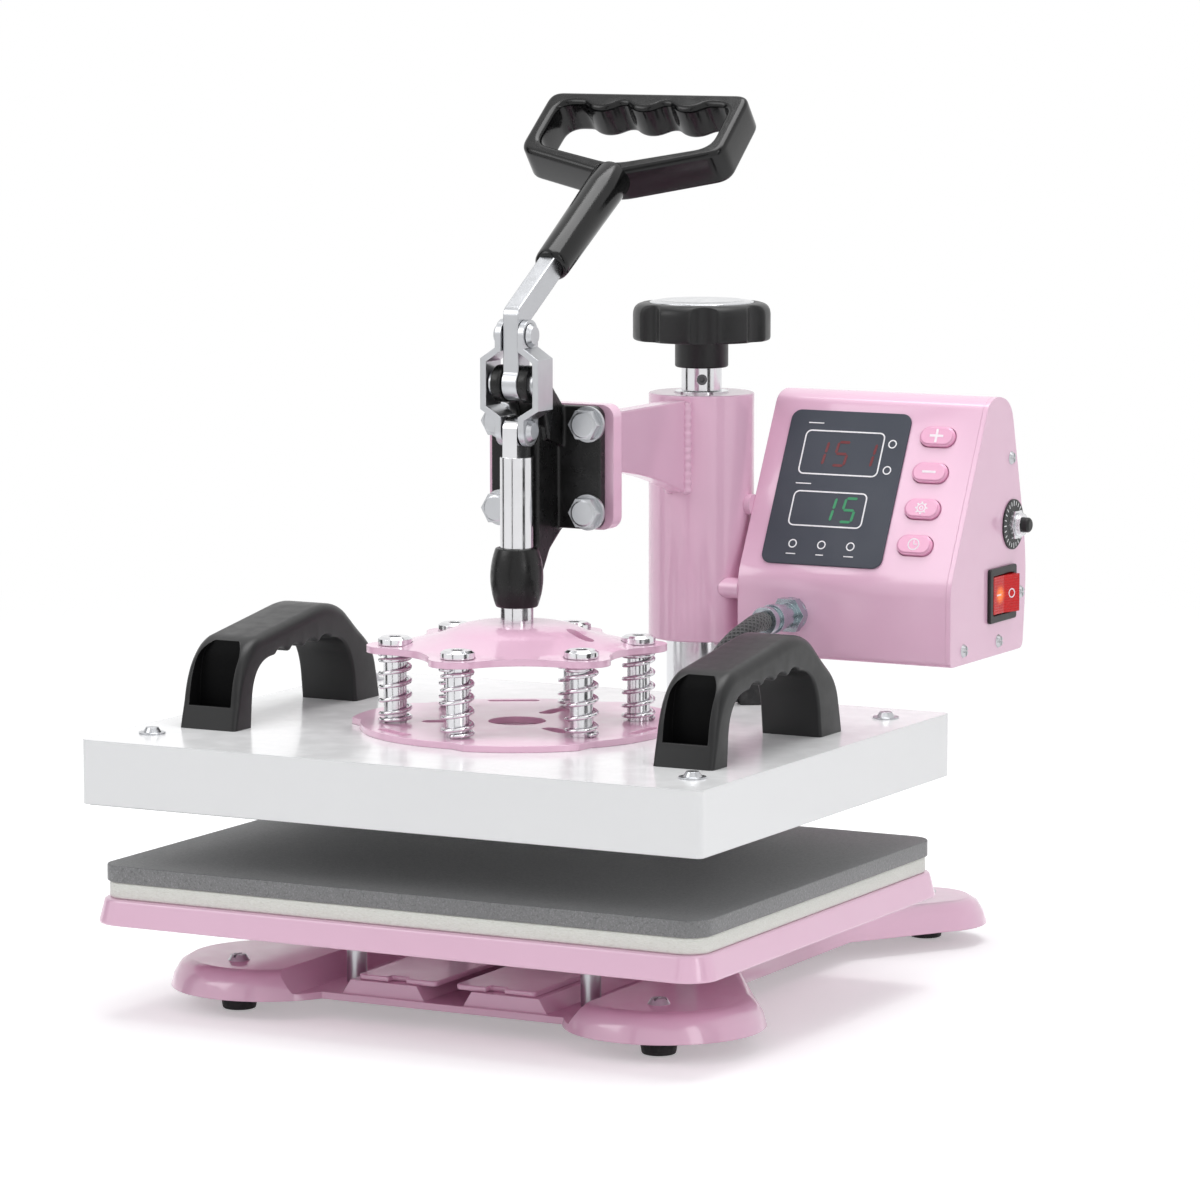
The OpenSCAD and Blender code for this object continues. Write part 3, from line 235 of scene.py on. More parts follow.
def enamel():
    """Glossy white stove enamel with a faint ripple."""
    look = Look("white_enamel", (0.88, 0.88, 0.88), 0.2,
                specular_ior_level=0.3, coat_weight=0.2, coat_roughness=0.06)
    look.round_edges(0.9)
    look.tint(look.noise(80, 2), (0.86, 0.86, 0.865), 0.4, 0.8, 0.6)
    look.roughen(look.noise(14, 3), 0.16, 0.25)
    look.bump(look.noise(5, 2), 0.05, 0.15)
    return look.material


def moulded(name, color=(0.012, 0.012, 0.0125), rough=0.38, pale=(0.10, 0.10, 0.102), specular=0.36):
    """Moulded black plastic with a fine spark-eroded grain, polished at the edges."""
    look = Look(name, color, rough, specular_ior_level=specular)
    look.round_edges(0.6)
    look.tint(look.noise(25, 3), tuple(1.3 * c for c in color), 0.45, 0.8, 0.5)
    look.edge_wear(pale, 0.55)
    look.roughen(look.noise(6, 4), rough - 0.03, rough + 0.04)
    look.bump(look.cells(0.55), 0.05, 0.25)
    return look.material


def rubber(name):
    look = Look(name, (0.017, 0.017, 0.018), 0.72)
    look.round_edges(0.5)
    look.tint(look.noise(3, 4), (0.04, 0.04, 0.04), 0.45, 0.75)
    look.roughen(look.noise(5, 3), 0.62, 0.82)
    look.bump(look.noise(0.7, 3), 0.08, 0.4)
    return look.material


def cast_black():
    """Cast bracket under semi-gloss black paint."""
    look = Look("black_iron", (0.006, 0.006, 0.006), 0.3,
                specular_ior_level=0.25, coat_weight=0.15, coat_roughness=0.2)
    look.round_edges(0.9)
    look.tint(look.noise(12, 4), (0.014, 0.014, 0.0145), 0.45, 0.75)
    look.edge_wear((0.13, 0.13, 0.13), 0.4)
    look.roughen(look.noise(4, 4), 0.24, 0.42)
    look.bump(look.noise(2.2, 5), 0.25, 0.55)
    return look.material


def bright_steel(name, color=(0.53, 0.54, 0.56), rough=0.3, grain=(1, 1, 4)):
    """Zinc-plated or turned steel with fine tool lines and a few dull patches."""
    look = Look(name, color, rough, 1.0)
    look.round_edges(0.35)
    look.tint(look.noise(9, 4), tuple(0.8 * c for c in color), 0.45, 0.8, 0.3)
    look.roughen(look.noise(5, 4), rough - 0.02, rough + 0.03)
    look.bump(look.noise(2.4, 2, grain), 0.01, 0.02)
    return look.material


def polished(name, color=(0.76, 0.76, 0.78), rough=0.14):
    look = Look(name, color, rough, 1.0)
    look.round_edges(0.3)
    look.tint(look.noise(20, 3), tuple(0.85 * c for c in color), 0.45, 0.8, 0.5)
    look.roughen(look.noise(7, 4), rough - 0.03, rough + 0.08)
    look.bump(look.noise(6, 2), 0.02, 0.1)
    return look.material


def foam_look():
    """Dark grey closed-cell silicone foam: fine open pores and speckle."""
    look = Look("foam", (0.175, 0.175, 0.177), 0.55,
                specular_ior_level=0.8, sheen_weight=0.35, sheen_roughness=0.4)
    look.tint(look.noise(0.7, 2), (0.27, 0.27, 0.273), 0.5, 0.72)
    look.tint(look.cells(0.9), (0.10, 0.10, 0.102), 0.62, 0.85, 0.7)
    look.tint(look.noise(70, 2), (0.14, 0.14, 0.142), 0.4, 0.7, 0.35)
    look.roughen(look.noise(1.5, 3), 0.48, 0.62)
    look.bump(look.cells(0.9), 0.1, 0.35)
    return look.material


def felt_look():
    """Cream needled felt: crossed fibres and small tufts."""
    look = Look("felt", (0.84, 0.84, 0.78), 0.95,
                sheen_weight=0.4, sheen_roughness=0.5, specular_ior_level=0.15)
    look.tint(look.noise(1.6, 5, (1, 1, 3)), (0.70, 0.69, 0.62), 0.5, 0.75, 0.6)
    look.tint(look.noise(0.6, 3, (0.35, 0.35, 2)), (0.92, 0.92, 0.88), 0.5, 0.7, 0.8)
    look.bump(look.noise(0.8, 5, (0.5, 0.5, 2)), 0.5, 0.8)
    look.bump(look.noise(3.5, 3), 0.6, 0.5)
    return look.material


BRAID_WAVES_ALONG, BRAID_WAVES_ROUND = 26, 10


def braid_look():
    """Woven sleeve of the heater lead: two crossing spirals of yarn, laid out on the tube's own UVs."""
    look = Look("braid", (0.022, 0.022, 0.023), 0.6, sheen_weight=0.2, sheen_roughness=0.4)
    split = look.node("SeparateXYZ", vector=look.node("UVMap").outputs["UV"])
    along, round_it = split.outputs[0], split.outputs[1]
    yarns = []
    for side in (1, -1):
        turn = look.math("ADD", look.math("MULTIPLY", along, TURN * BRAID_WAVES_ALONG),
                         look.math("MULTIPLY", round_it, side * TURN * BRAID_WAVES_ROUND))
        yarns.append(look.math("SINE", turn))
    weave = look.math("MAXIMUM", yarns[0], yarns[1])
    look.tint(weave, (0.085, 0.085, 0.088), 0.2, 1.0)
    look.bump(weave, 0.4, 0.8)
    return look.material


def glass_panel():
    """Smoked satin overlay of the display."""
    look = Look("display", (0.052, 0.060, 0.078), 0.5, specular_ior_level=0.35)
    look.round_edges(0.4)
    look.tint(look.noise(45, 2), (0.064, 0.072, 0.090), 0.35, 0.75)
    look.roughen(look.noise(12, 3), 0.44, 0.56)
    look.bump(look.noise(1.0, 2), 0.01, 0.15)
    return look.material


def lamp_look(name, color, glow, strength):
    look = Look(name, color, 0.35)
    look.set("Emission Color", (*glow, 1))
    look.set("Emission Strength", strength)
    look.tint(look.noise(2, 2), tuple(0.8 * c for c in color), 0.4, 0.7, 0.5)
    look.roughen(look.noise(3, 2), 0.3, 0.42)
    return look.material


def ink_look(name, color, rough=0.5):
    look = Look(name, color, rough)
    look.tint(look.noise(1.5, 3), tuple(0.86 * c for c in color), 0.45, 0.8)
    look.roughen(look.noise(2, 3), rough - 0.08, rough + 0.08)
    return look.material


LAMP_CORE, LAMP_HALO, RIB_PITCH = 3.5 * MM, 7 * MM, 1.3 * MM


def red_lens():
    """Translucent ribbed red rocker with a lamp behind its front half."""
    look = Look("red_lens", (0.62, 0.003, 0.005), 0.3,
                specular_ior_level=0.3, coat_weight=0.1, coat_roughness=0.12)
    look.round_edges(0.4)
    low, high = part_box("power_rocker")
    lamp = Vector((high.x, low.y + 0.32 * (high.y - low.y), (low.z + high.z) / 2))
    spot = look.between(look.vector("DISTANCE", look.place(), lamp), LAMP_CORE, LAMP_HALO, 1.0, 0.0)
    look.tint(spot, (0.85, 0.10, 0.01), 0.2, 1.0)
    look.set("Emission Color", (1.0, 0.30, 0.02, 1))
    glow = look.math("MULTIPLY", look.math("POWER", spot, 2.5), 0.7)
    look.link(glow, look.shader.inputs["Emission Strength"])
    height = look.node("SeparateXYZ", vector=look.place()).outputs[2]
    ribs = look.math("SINE", look.math("MULTIPLY", height, TURN / RIB_PITCH))
    look.roughen(look.noise(3, 3), 0.22, 0.34)
    look.bump(ribs, 0.12, 0.5)
    return look.material


LOOKS = {
    "pink_paint": powder_coat("pink_paint"),
    "pink_plastic": powder_coat("pink_plastic", (0.82, 0.36, 0.56), 0.42),
    "black_rubber": rubber("black_rubber"),
    "black_plastic": moulded("black_plastic"),
    "black_iron": cast_black(),
    "zinc": bright_steel("zinc"),
    "chrome": polished("chrome"),
    "dark_steel": bright_steel("dark_steel", (0.12, 0.12, 0.125), 0.4),
    "nylon": moulded("nylon", (0.70, 0.70, 0.67), 0.5, (0.8, 0.8, 0.78)),
    "white_enamel": enamel(),
    "heat_face": bright_steel("heat_face", (0.16, 0.16, 0.17), 0.45, (6, 6, 1)),
    "insulation": felt_look(),
    "felt": felt_look(),
    "foam": foam_look(),
    "display": glass_panel(),
    "circuit": moulded("circuit", (0.02, 0.12, 0.05), 0.4, (0.1, 0.3, 0.15)),
    "braid": braid_look(),
    "silver_disc": polished("silver_disc", (0.62, 0.63, 0.65), 0.16),
    "red_lens": red_lens(),
}
# Painted shade: a near-black, dull, barely reflective copy of the handle plastic for the inner faces of the scoops and
# pockets, darker than the plastic really is, standing in for the shade inside them
PAINTED_SHADE_BLACK = moulded("painted_shade_black", (0.004, 0.004, 0.0042), 0.6, (0.02, 0.02, 0.02), 0.05)
GLOSS_BLACK = moulded("gloss_black", (0.004, 0.004, 0.0042), 0.14, (0.05, 0.05, 0.051))
PLATED_LOOK = polished("blue_zinc", (0.46, 0.53, 0.56), 0.2)
WHITE_INK = ink_look("white_ink", (0.92, 0.92, 0.93))
PALE_INK = ink_look("pale_ink", (0.97, 0.88, 0.93))
RED_DIGIT = lamp_look("red_digit", (0.11, 0.014, 0.018), (0.75, 0.03, 0.06), 0.06)
GREEN_DIGIT = lamp_look("green_digit", (0.02, 0.13, 0.06), (0.04, 0.75, 0.28), 0.18)


# CAD nodes: materials, and softened edges where the real edge is broken or rolled
PLATED_NODES = ("cable_gland", "lead_ferrule")


def dress_nodes():
    slots = {row["node"]: row["material_slot"] for row in frame["record"]["subparts"]}
    for name, piece in NODES.items():
        piece.data.materials.clear()
        piece.data.materials.append(PLATED_LOOK if name in PLATED_NODES else LOOKS[slots[name]])


EDGE_MM = {
    "platen_cover": 1.0, "bed_plate": 1.2, "base_pan": 1.2, "upper_spider": 0.7, "lower_spider": 0.7,
    "bed_rails": 0.6, "backing_plate": 1.0, "head_arm": 1.0, "box_shell": 1.0, "box_end_cap": 2.2,
    "column_sleeve": 0.8, "lever_bar": 0.6, "toggle_links": 0.5, "bracket_bolts": 0.4, "knob_disc": 0.4,
    "rocker_bezel": 0.5, "display_panel": 0.4, "screw_collar": 0.5, "rubber_feet": 0.8, "breaker_button": 0.4,
    "button_plus": 0.5, "button_minus": 0.5, "button_menu": 0.5, "button_start": 0.5, "lead_boot": 0.8,
}


def soften_edges():
    for name, width in EDGE_MM.items():
        piece = NODES[name]
        weld = piece.modifiers.new("weld", "WELD")
        weld.merge_threshold = 1e-5
        flat = piece.modifiers.new("flat", "DECIMATE")
        flat.decimate_type = "DISSOLVE"
        flat.angle_limit = math.radians(0.6)
        bevel = piece.modifiers.new("edge", "BEVEL")
        bevel.width = width * MM
        bevel.segments = 3
        bevel.limit_method = "ANGLE"
        bevel.angle_limit = math.radians(32)
        bevel.use_clamp_overlap = True
        bevel.miter_outer = "MITER_ARC"
        flats = piece.modifiers.new("flats", "WEIGHTED_NORMAL")
        flats.weight = 100
        flats.keep_sharp = True


dress_nodes()


# Mesh helpers
def new_piece(name, verts, faces, material, body, smooth=True):
    mesh = bpy.data.meshes.new(name)
    mesh.from_pydata([tuple(v) for v in verts], [], faces)
    mesh.validate()
    mesh.update()
    piece = put(name, mesh)
    mesh.materials.append(material)
    for polygon in mesh.polygons:
        polygon.use_smooth = smooth
    if body:
        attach(piece, body)
    return piece


def rounded_ring(half_x, half_y, radius, steps=8):
    """Points round a rectangle with round corners, anticlockwise."""
    ring = []
    for quarter, (sx, sy) in enumerate(((1, 1), (-1, 1), (-1, -1), (1, -1))):
        for k in range(steps + 1):
            a = math.pi / 2 * (quarter + k / steps)
            ring.append((sx * (half_x - radius) + radius * math.cos(a),
                         sy * (half_y - radius) + radius * math.sin(a)))
    return ring


def skin_rings(rings, close_ends=True):
    """Quads between rings of equal length, and a cap at each end."""
    verts = [p for ring in rings for p in ring]
    n = len(rings[0])
    faces = [
        (i * n + j, i * n + (j + 1) % n, (i + 1) * n + (j + 1) % n, (i + 1) * n + j)
        for i in range(len(rings) - 1) for j in range(n)
    ]
    if close_ends:
        faces.append(tuple(reversed(range(n))))
        faces.append(tuple(range((len(rings) - 1) * n, len(rings) * n)))
    return verts, faces


def tube(path, radius, sides, up=X):
    """Rings of a tube that follows a path, with a steady frame along it."""
    rings = []
    for i, p in enumerate(path):
        t = (path[min(i + 1, len(path) - 1)] - path[max(i - 1, 0)]).normalized()
        u = (up - t * up.dot(t)).normalized()
        v = t.cross(u)
        up = u
        rings.append([
            p + radius * (math.cos(a) * u + math.sin(a) * v)
            for a in (TURN * j / sides for j in range(sides))
        ])
    return rings


def face_outwards(piece):
    bm = bmesh.new()
    bm.from_mesh(piece.data)
    bmesh.ops.recalc_face_normals(bm, faces=bm.faces)
    bm.to_mesh(piece.data)
    bm.free()


def skinned(name, rings, material, body, outwards=False):
    """A closed piece through rings of equal length."""
    piece = new_piece(name, *skin_rings(rings), material, body)
    if outwards:
        face_outwards(piece)
    return piece


def settle(piece):
    """Puts the modifiers' result in place of the piece's mesh."""
    bpy.context.view_layer.update()
    made = bpy.data.meshes.new_from_object(piece.evaluated_get(bpy.context.evaluated_depsgraph_get()))
    piece.modifiers.clear()
    piece.data = made
    for polygon in made.polygons:
        polygon.use_smooth = True
    return made


# Pads on the bed: flat sheets with slightly eased edges
def pad(name, node, slot, corner_mm, ease_mm):
    low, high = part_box(node)
    middle = (low + high) / 2
    half = (high - low) / 2
    ease = ease_mm * MM
    rings = []
    steps = 4
    for side in (-1, 1):
        for k in range(steps + 1):
            a = math.pi / 2 * (k / steps if side > 0 else 1 - k / steps)
            inset = ease * (1 - math.cos(a))
            z = side * (half.z - ease * (1 - math.sin(a)))
            ring = rounded_ring(half.x - inset, half.y - inset, corner_mm * MM - inset)
            rings.append([Vector((middle.x + x, middle.y + y, middle.z + z)) for x, y in ring])
    piece = skinned(name, rings, LOOKS[slot], "base")
    for polygon in piece.data.polygons:
        polygon.use_smooth = abs(polygon.normal.z) < 0.95
    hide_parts(node)


pad("felt_sheet", "felt_pad", "felt", 11, 1.0)
pad("foam_sheet", "foam_pad", "foam", 11, 0.5)


# Springs: closed end turns, open turns between
SPRING_TURNS, STEPS_PER_TURN, WIRE_SIDES = 6, 28, 10
END_PITCH = 2.55 * MM
WIRE_R = 1.0 * MM
SPRING_COUNT = 6
SPRING_CIRCLE_R = 55 * MM
COIL_R = 6.7 * MM


def springs():
    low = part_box("pressure_springs")[0].z + WIRE_R
    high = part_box("pressure_springs")[1].z - WIRE_R
    rod = (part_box("plunger_rod")[0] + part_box("plunger_rod")[1]) / 2
    open_pitch = (high - low - 2 * END_PITCH) / (SPRING_TURNS - 2)

    def height(t):
        if t < 1:
            return t * END_PITCH
        if t > SPRING_TURNS - 1:
            return END_PITCH + (SPRING_TURNS - 2) * open_pitch + (t - SPRING_TURNS + 1) * END_PITCH
        return END_PITCH + (t - 1) * open_pitch

    for s in range(SPRING_COUNT):
        place = math.radians(90 + s * 360 / SPRING_COUNT)
        axis = Vector((rod.x, rod.y, low)) + SPRING_CIRCLE_R * (math.cos(place) * X + math.sin(place) * Y)
        path = []
        for i in range(SPRING_TURNS * STEPS_PER_TURN + 1):
            t = i / STEPS_PER_TURN
            a = place + TURN * t
            path.append(axis + Vector((COIL_R * math.cos(a), COIL_R * math.sin(a), height(t))))
        piece = skinned(f"spring_{s}", tube(path, WIRE_R, WIRE_SIDES, Z), LOOKS["chrome"], "platen")
        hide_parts("pressure_springs")
        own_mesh(piece)


springs()


# Heater lead: the same route as the CAD solid, in millimetres from the ferrule's end
LEAD_R = 4.5 * MM
LEAD_SIDES, LEAD_STEPS = 20, 6
LEAD_ROUTE = [(0, 0, 0), (0, -7, 0), (-1, -14, -2), (-4, -21, -6), (-8, -26, -12), (-11, -29, -19),
              (-12, -30, -25), (-11, -28, -29.5), (-7, -25, -31), (-2, -22, -31)]


def smooth_path(points, steps):
    """Catmull-Rom curve through the points."""
    path = []
    for i in range(len(points) - 1):
        p0, p1, p2, p3 = (points[max(0, min(len(points) - 1, i + k))] for k in (-1, 0, 1, 2))
        for k in range(steps):
            t = k / steps
            path.append(0.5 * (2 * p1 + (p2 - p0) * t + (2 * p0 - 5 * p1 + 4 * p2 - p3) * t ** 2
                               + (3 * p1 - p0 - 3 * p2 + p3) * t ** 3))
    return path + [points[-1]]


def heater_lead():
    low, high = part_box("lead_ferrule")
    start = Vector(((low.x + high.x) / 2, low.y, (low.z + high.z) / 2))
    path = smooth_path([start + Vector(p) * MM for p in LEAD_ROUTE], LEAD_STEPS)
    piece = skinned("lead", tube(path, LEAD_R, LEAD_SIDES), LOOKS["braid"], None)
    layer = piece.data.uv_layers.new(name="along")
    length = sum((b - a).length for a, b in zip(path, path[1:]))
    reach = [0.0]
    for a, b in zip(path, path[1:]):
        reach.append(reach[-1] + (b - a).length / length)
    for polygon in piece.data.polygons:
        columns = [v % LEAD_SIDES for v in polygon.vertices]
        for loop, v, column in zip(polygon.loop_indices, polygon.vertices, columns):
            wraps = column == 0 and LEAD_SIDES - 1 in columns
            layer.data[loop].uv = (reach[v // LEAD_SIDES], 1.0 if wraps else column / LEAD_SIDES)
    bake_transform(piece)
    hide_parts("heater_lead")


heater_lead()


# Press bracket: the CAD form with its edges rounded over, as a casting has them
CAST_VOXEL, CAST_ROUNDS = 0.6 * MM, 5


def cast_bracket():
    piece = put("cast_bracket", NODES["press_bracket"].data.copy())
    remesh = piece.modifiers.new("remesh", "REMESH")
    remesh.mode = "VOXEL"
    remesh.voxel_size = CAST_VOXEL
    smooth = piece.modifiers.new("smooth", "SMOOTH")
    smooth.factor = 0.5
    smooth.iterations = CAST_ROUNDS
    made = settle(piece)
    made.materials.clear()
    made.materials.append(LOOKS["black_iron"])
    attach(piece, "head")
    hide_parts("press_bracket")


cast_bracket()


def bezier(a, p, b, steps=16):
    """Quadratic curve from a to b that heads for p at both ends, as points in a plane."""
    return [
        tuple(a[i] * (1 - t) ** 2 + p[i] * 2 * t * (1 - t) + b[i] * t ** 2 for i in (0, 1))
        for t in (k / steps for k in range(steps + 1))
    ]


def spaced(points, count):
    """The polyline's points at equal steps of its length, both ends included."""
    reach = [0.0]
    for a, b in zip(points, points[1:]):
        reach.append(reach[-1] + math.dist(a, b))
    made, i = [], 0
    for k in range(count + 1):
        goal = reach[-1] * k / count
        while i < len(points) - 2 and reach[i + 1] < goal:
            i += 1
        t = (goal - reach[i]) / max(reach[i + 1] - reach[i], 1e-9)
        made.append(tuple(points[i][c] + t * (points[i + 1][c] - points[i][c]) for c in (0, 1)))
    return made


# Side handles: millimetres along the handle from its screws' middle, and above the platen's cover
HANDLE_AT_Y = -70.5 * MM
HANDLE_HALF_W = 14.8
HANDLE_TOP_ROUND, HANDLE_FOOT_ROUND, HANDLE_LOW_ROUND = 5.0, 2.2, 1.4
SCOOP_HALF_W, SCOOP_ROUND, SCOOP_FLOOR, POCKET_FLOOR = 11, 9, 10.3, 4.5
SCALLOPS = [(-27 + 13 * i, 25.2 + 0.5 * i, 8) for i in range(4)]


def handle_stations():
    """Pairs of points on the handle's outer and inner outline, from its front foot to its rear foot."""
    top_bend = bezier((6, 47.9), (24, 50.6), (34, 42.5), 20)
    sections = (
        ([(-69, 0), (-66, 12)], [(-54, 0), (-53, 12)], 3),
        (bezier((-66, 12), (-63, 36), (-46, 40.1)) + [(-35.5, 41.7)],
         bezier((-53, 12), (-51.5, 30), (-34, 30.6)), 18),
        ([(-35.5, 41.7)] + top_bend[:8], [(-34, 30.6), (18, 32.6)], 72),
        (top_bend[7:] + bezier((50, 29.8), (58, 23.4), (59.2, 14)),
         bezier((18, 32.6), (34.5, 31.5), (37.5, 12)), 24),
        ([(59.2, 14), (62, 0)], [(37.5, 12), (39, 0)], 3),
    )
    pairs = []
    for outer, inner, count in sections:
        made = list(zip(spaced(outer, count), spaced(inner, count)))
        pairs += made if not pairs else made[1:]
    eased = []
    for outer, (u, v) in pairs:
        for cu, cv, r in SCALLOPS:
            if abs(u - cu) < r:
                v = max(v, cv + math.sqrt(r * r - (u - cu) ** 2))
        eased.append((outer, (u, v)))
    return eased


def handle_ring(outer, inner, x, cover):
    """Cross-section of a handle between two outline points: broad rounds outside, small ones inside."""
    tall = math.dist(outer, inner)
    broad = HANDLE_FOOT_ROUND + (HANDLE_TOP_ROUND - HANDLE_FOOT_ROUND) * min(1, outer[1] / 34) ** 1.5
    ring = []
    for quarter, (sx, sy) in enumerate(((1, 1), (-1, 1), (-1, -1), (1, -1))):
        r = broad if sy > 0 else HANDLE_LOW_ROUND
        for k in range(9):
            a = math.pi / 2 * (quarter + k / 8)
            across = sx * (HANDLE_HALF_W - r) + r * math.cos(a)
            rise = (tall - r if sy > 0 else r) + r * math.sin(a)
            u, v = (inner[i] + (outer[i] - inner[i]) * rise / tall for i in (0, 1))
            ring.append(Vector((x + across * MM, HANDLE_AT_Y + u * MM, cover + v * MM)))
    return ring


def cutter(name, levels, x, cover):
    """Closed cutter through (half width, near, far, height) levels."""
    rings = []
    for half, near, far, v in levels:
        corners = ((-half, near), (half, near), (half, far), (-half, far))
        rings.append([Vector((x + a * MM, HANDLE_AT_Y + b * MM, cover + v * MM)) for a, b in corners])
    # the cutter carries the painted-shade material onto the faces it cuts
    return skinned(name, rings, PAINTED_SHADE_BLACK, None, outwards=True)


def pocket_cutter(near_u, far_u, x, cover):
    """Cutter for the pocket below a scoop's sill."""
    levels = [(SCOOP_HALF_W, near_u, far_u, v) for v in (POCKET_FLOOR, SCOOP_FLOOR + 2)]
    return cutter("pocket_cutter", levels, x, cover)


def scoop_cutter(wall, far_u, top, x, cover):
    """Cutter for one scoop: an arch seen from its end, with a back wall that leans outwards."""
    levels = [(SCOOP_HALF_W, v) for v in (SCOOP_FLOOR, wall[0][1], 16, 20, 24)]
    for k in range(9):
        a = math.pi / 2 * k / 8
        levels.append((SCOOP_HALF_W - SCOOP_ROUND * (1 - math.cos(a)), top - SCOOP_ROUND * (1 - math.sin(a))))
    back = bezier(*wall, 24)
    return cutter("scoop_cutter", [
        (half, far_u, min(back, key=lambda p: abs(p[1] - v))[0], v) for half, v in levels
    ], x, cover)


def carve(piece, cutters):
    """Cuts the cutters out of the piece's mesh, giving the cut faces the cutters' painted-shade material, and removes
    them.
    """
    for tool in cutters:
        cut = piece.modifiers.new("cut", "BOOLEAN")
        cut.object, cut.operation, cut.solver = tool, "DIFFERENCE", "EXACT"
        # painted shade: the cut faces take the cutter's darker material
        cut.material_mode = "TRANSFER"
    made = settle(piece)
    for tool in cutters:
        bpy.data.objects.remove(tool)
    made.set_sharp_from_angle(angle=math.radians(35))


def side_handle(node, name):
    low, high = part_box(node)
    x, cover = (low.x + high.x) / 2, low.z
    rings = [handle_ring(outer, inner, x, cover) for outer, inner in handle_stations()]
    piece = skinned(name, rings, LOOKS["black_plastic"], None, outwards=True)
    carve(piece, [
        scoop_cutter(((-57, 12), (-56.8, 30), (-50.4, 38.6)), -90, 39.5, x, cover),
        scoop_cutter(((51, 12), (51, 24), (46, 33.2)), 90, 34, x, cover),
        pocket_cutter(-64.6, -57.01, x, cover),
        pocket_cutter(51.01, 58, x, cover),
    ])
    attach(piece, "platen")
    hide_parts(node)


side_handle("left_handle", "left_grip")
side_handle("right_handle", "right_grip")


# Loop grip: millimetres in the loop's own plane, from the middle of its foot
STEM_ANGLE, LOOP_ANGLE = math.radians(32), math.radians(39)
BEND_AT = Vector((0, -67.5, 283 + 30.5)) * MM
STEM_FROM, STEM_LEN = 37.7, 62
LOOP_DEPTH, LOOP_ROUND = 18.5, 2.6
LOOP_HALF_W, LOOP_H, LOOP_CORNER_Y, LOOP_FOOT_Y, LOOP_LEAN, LOOP_BAR = 52.5, 53.5, 12.5, -4, 0.25, 7.5
BUMP_STEP, BUMP_RISE, BUMP_R = 22.5, 4.2, 12
OUTLINE_POINTS, BUMP_EASES = 260, 4
LOOP_UP, LOOP_IN = 9.6, 4.6  # from the stem's end to the middle of the loop's foot
STEM_PROFILE = [(5.8, 0), (7.2, 0.4), (8.0, 1.5), (8.3, 3.4), (8.6, 22), (8.9, 42), (9.2, 58), (9.4, 70),
                (8.2, 73), (5, 74)]


def eased_outline(points, reaches, steps=8):
    """Closed outline whose corners are eased over the given reaches."""
    made = []
    for i, p in enumerate(points):
        ends = []
        for q in (points[i - 1], points[(i + 1) % len(points)]):
            length = math.dist(p, q)
            ends.append(tuple(p[c] + (q[c] - p[c]) * reaches[i] / length for c in (0, 1)))
        made += bezier(ends[0], p, ends[1], steps)
    return made


def shifted(outline, amount):
    """The outline moved to its left by an amount, point by point."""
    made = []
    for i, (x, y) in enumerate(outline):
        before, after = outline[i - 1], outline[(i + 1) % len(outline)]
        tx, ty = after[0] - before[0], after[1] - before[1]
        length = math.hypot(tx, ty)
        made.append((x - ty / length * amount, y + tx / length * amount))
    return made


def loop_outlines():
    """Outer outline of the loop, and its opening with the finger bumps under the upper bar."""
    outlines = []
    for side, top, foot in ((0, 0, 0), (LOOP_BAR, LOOP_BAR, LOOP_BAR + 1)):
        half, low, high = LOOP_HALF_W - side, LOOP_CORNER_Y + foot * 0.55, LOOP_H - top
        corners = [(0, LOOP_FOOT_Y + foot), (half + LOOP_LEAN, low), (half - LOOP_LEAN, high),
                   (LOOP_LEAN - half, high), (-half - LOOP_LEAN, low)]
        outline = eased_outline(corners, (8, 7, 7, 7, 7))
        outlines.append(spaced(outline + outline[:1], OUTLINE_POINTS)[:-1])
    outer, opening = outlines
    bump_y = LOOP_H - LOOP_BAR - BUMP_RISE + BUMP_R
    bumped = []
    for x, y in opening:
        for cx in (-BUMP_STEP, 0, BUMP_STEP):
            if math.hypot(x - cx, y - bump_y) < BUMP_R:
                y = bump_y - math.sqrt(BUMP_R ** 2 - (x - cx) ** 2)
        bumped.append((x, y))
    for _ in range(BUMP_EASES):
        bumped = [
            tuple((a[c] + 2 * b[c] + d[c]) / 4 for c in (0, 1))
            for a, b, d in zip(bumped[-1:] + bumped[:-1], bumped, bumped[1:] + bumped[:1])
        ]
    return outer, bumped


def turned(name, profile, at, axis, side, material, body, sides=48):
    """A solid of revolution from (radius, reach) pairs in millimetres."""
    other = axis.cross(side)
    rings = []
    for radius, reach in profile:
        rings.append([
            at + axis * reach * MM + radius * MM * (math.cos(a) * side + math.sin(a) * other)
            for a in (TURN * k / sides for k in range(sides))
        ])
    piece = skinned(name, rings, material, body, outwards=True)
    piece.data.set_sharp_from_angle(angle=math.radians(40))
    return piece


